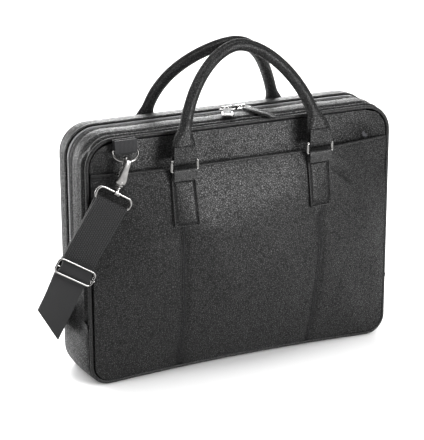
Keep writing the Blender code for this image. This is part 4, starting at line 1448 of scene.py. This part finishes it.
class BRIEFCASE_OT_inside(bpy.types.Operator):
    """Model the padded linings, the laptop divider, the organiser pocket, the board and a keeper strap"""

    bl_idname = "briefcase.inside"
    bl_label = "Inside"

    def execute(self, context):
        rows = (
            ("front_padding", "front_shell", 0.0004),
            ("rear_padding", "bag", 0.0004),
            ("laptop_divider", "bag", 0.0005),
            ("organiser_pocket", "front_shell", 0.0),
        )
        for node, body, puff in rows:
            self.pad(node, body, puff)
        board = self.filled_box("base_board")
        dress(board, "board", "bag", ("base_board",))
        keeper = self.filled_box("divider_strap")
        dress(keeper, "tape", "bag", ("divider_strap",))
        self.stretched(keeper, "divider_strap", ["rear_padding_pad"])
        return {"FINISHED"}

    def pad(self, node, body, puff):
        """A lined panel with softly quilted rows, inside the bag's rounded outline."""
        low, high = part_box(node)
        half = (high.x - low.x) / 2
        inset = HALF_WIDTH - half

        def face(x, z):
            quilt = abs(sin(pi * (x + z) / QUILT_STEP)) * abs(sin(pi * (x - z) / QUILT_STEP))
            return low.y - puff * quilt

        def place(u, v):
            z = low.z + (high.z - low.z) * v
            reach = min(half_width_at(z, inset), half)
            x = (2 * u - 1) * reach
            return Vector((x, face(x, z), z))

        piece = thicken(surface(node + "_pad", 84, 60, place), high.y - low.y, Y)
        dress(piece, "lining", body, (node,))
        if puff:
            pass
        else:
            self.stretched(piece, node, ["front_padding_pad"])

    def stretched(self, piece, node, behind):
        """An empty step: it changes nothing."""

    def filled_box(self, node):
        """A flat piece with softened edges that fills its node's box."""
        low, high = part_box(node)
        piece = block(high - low, 0.0008, 3, (low + high) / 2)
        piece.name = node + "_piece"
        shade_smooth()
        return piece


def facing(way):
    """The rotation of a light or camera that looks that way."""
    return way.to_track_quat("-Z", "Y").to_euler()


class BRIEFCASE_OT_stage(bpy.types.Operator):
    """Make the floor, the soft lights and the camera"""

    bl_idname = "briefcase.stage"
    bl_label = "Stage"

    def execute(self, context):
        self.floor()
        deselect()
        bpy.ops.object.light_add(type="SUN", location=(-1, 1, 3))
        sky = bpy.context.object
        sky.name = "Broad Overhead Light"
        sky.data.energy = 3.6
        sky.data.angle = radians(70)
        sky.rotation_euler = facing(Vector((0.25, -0.35, -1.6)))
        self.light("Back Softbox", (0.75, 1.95, 0.95), (0, 0, 0.25), 1.5, 20)
        self.light("Back Left Softbox", (-1.25, 1.75, 0.55), (-0.1, 0, 0.2), 1.0, 12)
        self.light("Near Front Softbox", (0.31, -0.82, 0.39), (-0.03, -0.06, 0.28), 0.45, 4.0)
        world = context.scene.world or bpy.data.worlds.new("Studio")
        context.scene.world = world
        world.use_nodes = True
        backdrop = world.node_tree.nodes["Background"]
        backdrop.inputs["Color"].default_value = (1, 1, 1, 1)
        backdrop.inputs["Strength"].default_value = 0.20
        context.scene.view_settings.view_transform = "Standard"
        self.camera(context)
        return {"FINISHED"}

    def floor(self):
        deselect()
        bpy.ops.mesh.primitive_plane_add(size=30, location=(0, 0, -0.0005))
        floor = bpy.context.object
        floor.name = "floor"
        made, _, shader = new_material("Pale Floor", 0.6, Specular_IOR_Level=0.2)
        shader.inputs["Base Color"].default_value = (0.94, 0.94, 0.94, 1)
        floor.data.materials.append(made)

    def light(self, name, place, target, size, power):
        deselect()
        bpy.ops.object.light_add(type="AREA", location=place)
        lamp = bpy.context.object
        lamp.name = name
        lamp.data.shape = "SQUARE"
        lamp.data.size = size
        lamp.data.energy = power
        lamp.data.spread = radians(90)
        lamp.rotation_euler = facing(Vector(target) - Vector(place))

    def camera(self, context):
        stage = context.scene.briefcase_stage
        target = Vector((0, -0.003, 0.1515))
        level = cos(stage.camera_elevation)
        turn = stage.camera_azimuth
        way = Vector((sin(turn) * level, -cos(turn) * level, sin(stage.camera_elevation)))
        bpy.ops.object.camera_add(location=target + way * stage.camera_distance)
        camera = bpy.context.object
        camera.rotation_euler = facing(-way)
        camera.data.lens = stage.lens
        camera.data.sensor_width = 36
        camera.data.shift_x = -0.0389
        camera.data.shift_y = 0.0271
        context.scene.camera = camera


class BRIEFCASE_PT_panel(bpy.types.Panel):
    """Lists the briefcase's makers"""

    bl_label = "Briefcase"
    bl_idname = "BRIEFCASE_PT_panel"
    bl_space_type = "VIEW_3D"
    bl_region_type = "UI"
    bl_category = "Briefcase"

    def draw(self, context):
        for operator in OPERATORS:
            self.layout.operator(operator.bl_idname)


OPERATORS = (
    BRIEFCASE_OT_materials,
    BRIEFCASE_OT_panels,
    BRIEFCASE_OT_gussets,
    BRIEFCASE_OT_zip,
    BRIEFCASE_OT_handles,
    BRIEFCASE_OT_fittings,
    BRIEFCASE_OT_strap,
    BRIEFCASE_OT_inside,
    BRIEFCASE_OT_stage,
)
CLASSES = (ShellSettings, StageSettings, *OPERATORS, BRIEFCASE_PT_panel)


def register():
    for made in CLASSES:
        bpy.utils.register_class(made)
    bpy.types.Scene.briefcase_shell = bpy.props.PointerProperty(type=ShellSettings)
    bpy.types.Scene.briefcase_stage = bpy.props.PointerProperty(type=StageSettings)


def unregister():
    del bpy.types.Scene.briefcase_stage
    del bpy.types.Scene.briefcase_shell
    for made in reversed(CLASSES):
        bpy.utils.unregister_class(made)


def main():
    register()
    maker = bpy.ops.briefcase
    for make in (maker.materials, maker.panels, maker.gussets, maker.zip, maker.handles,
                 maker.fittings, maker.strap, maker.inside, maker.stage):
        make()


if __name__ == "__main__":
    main()
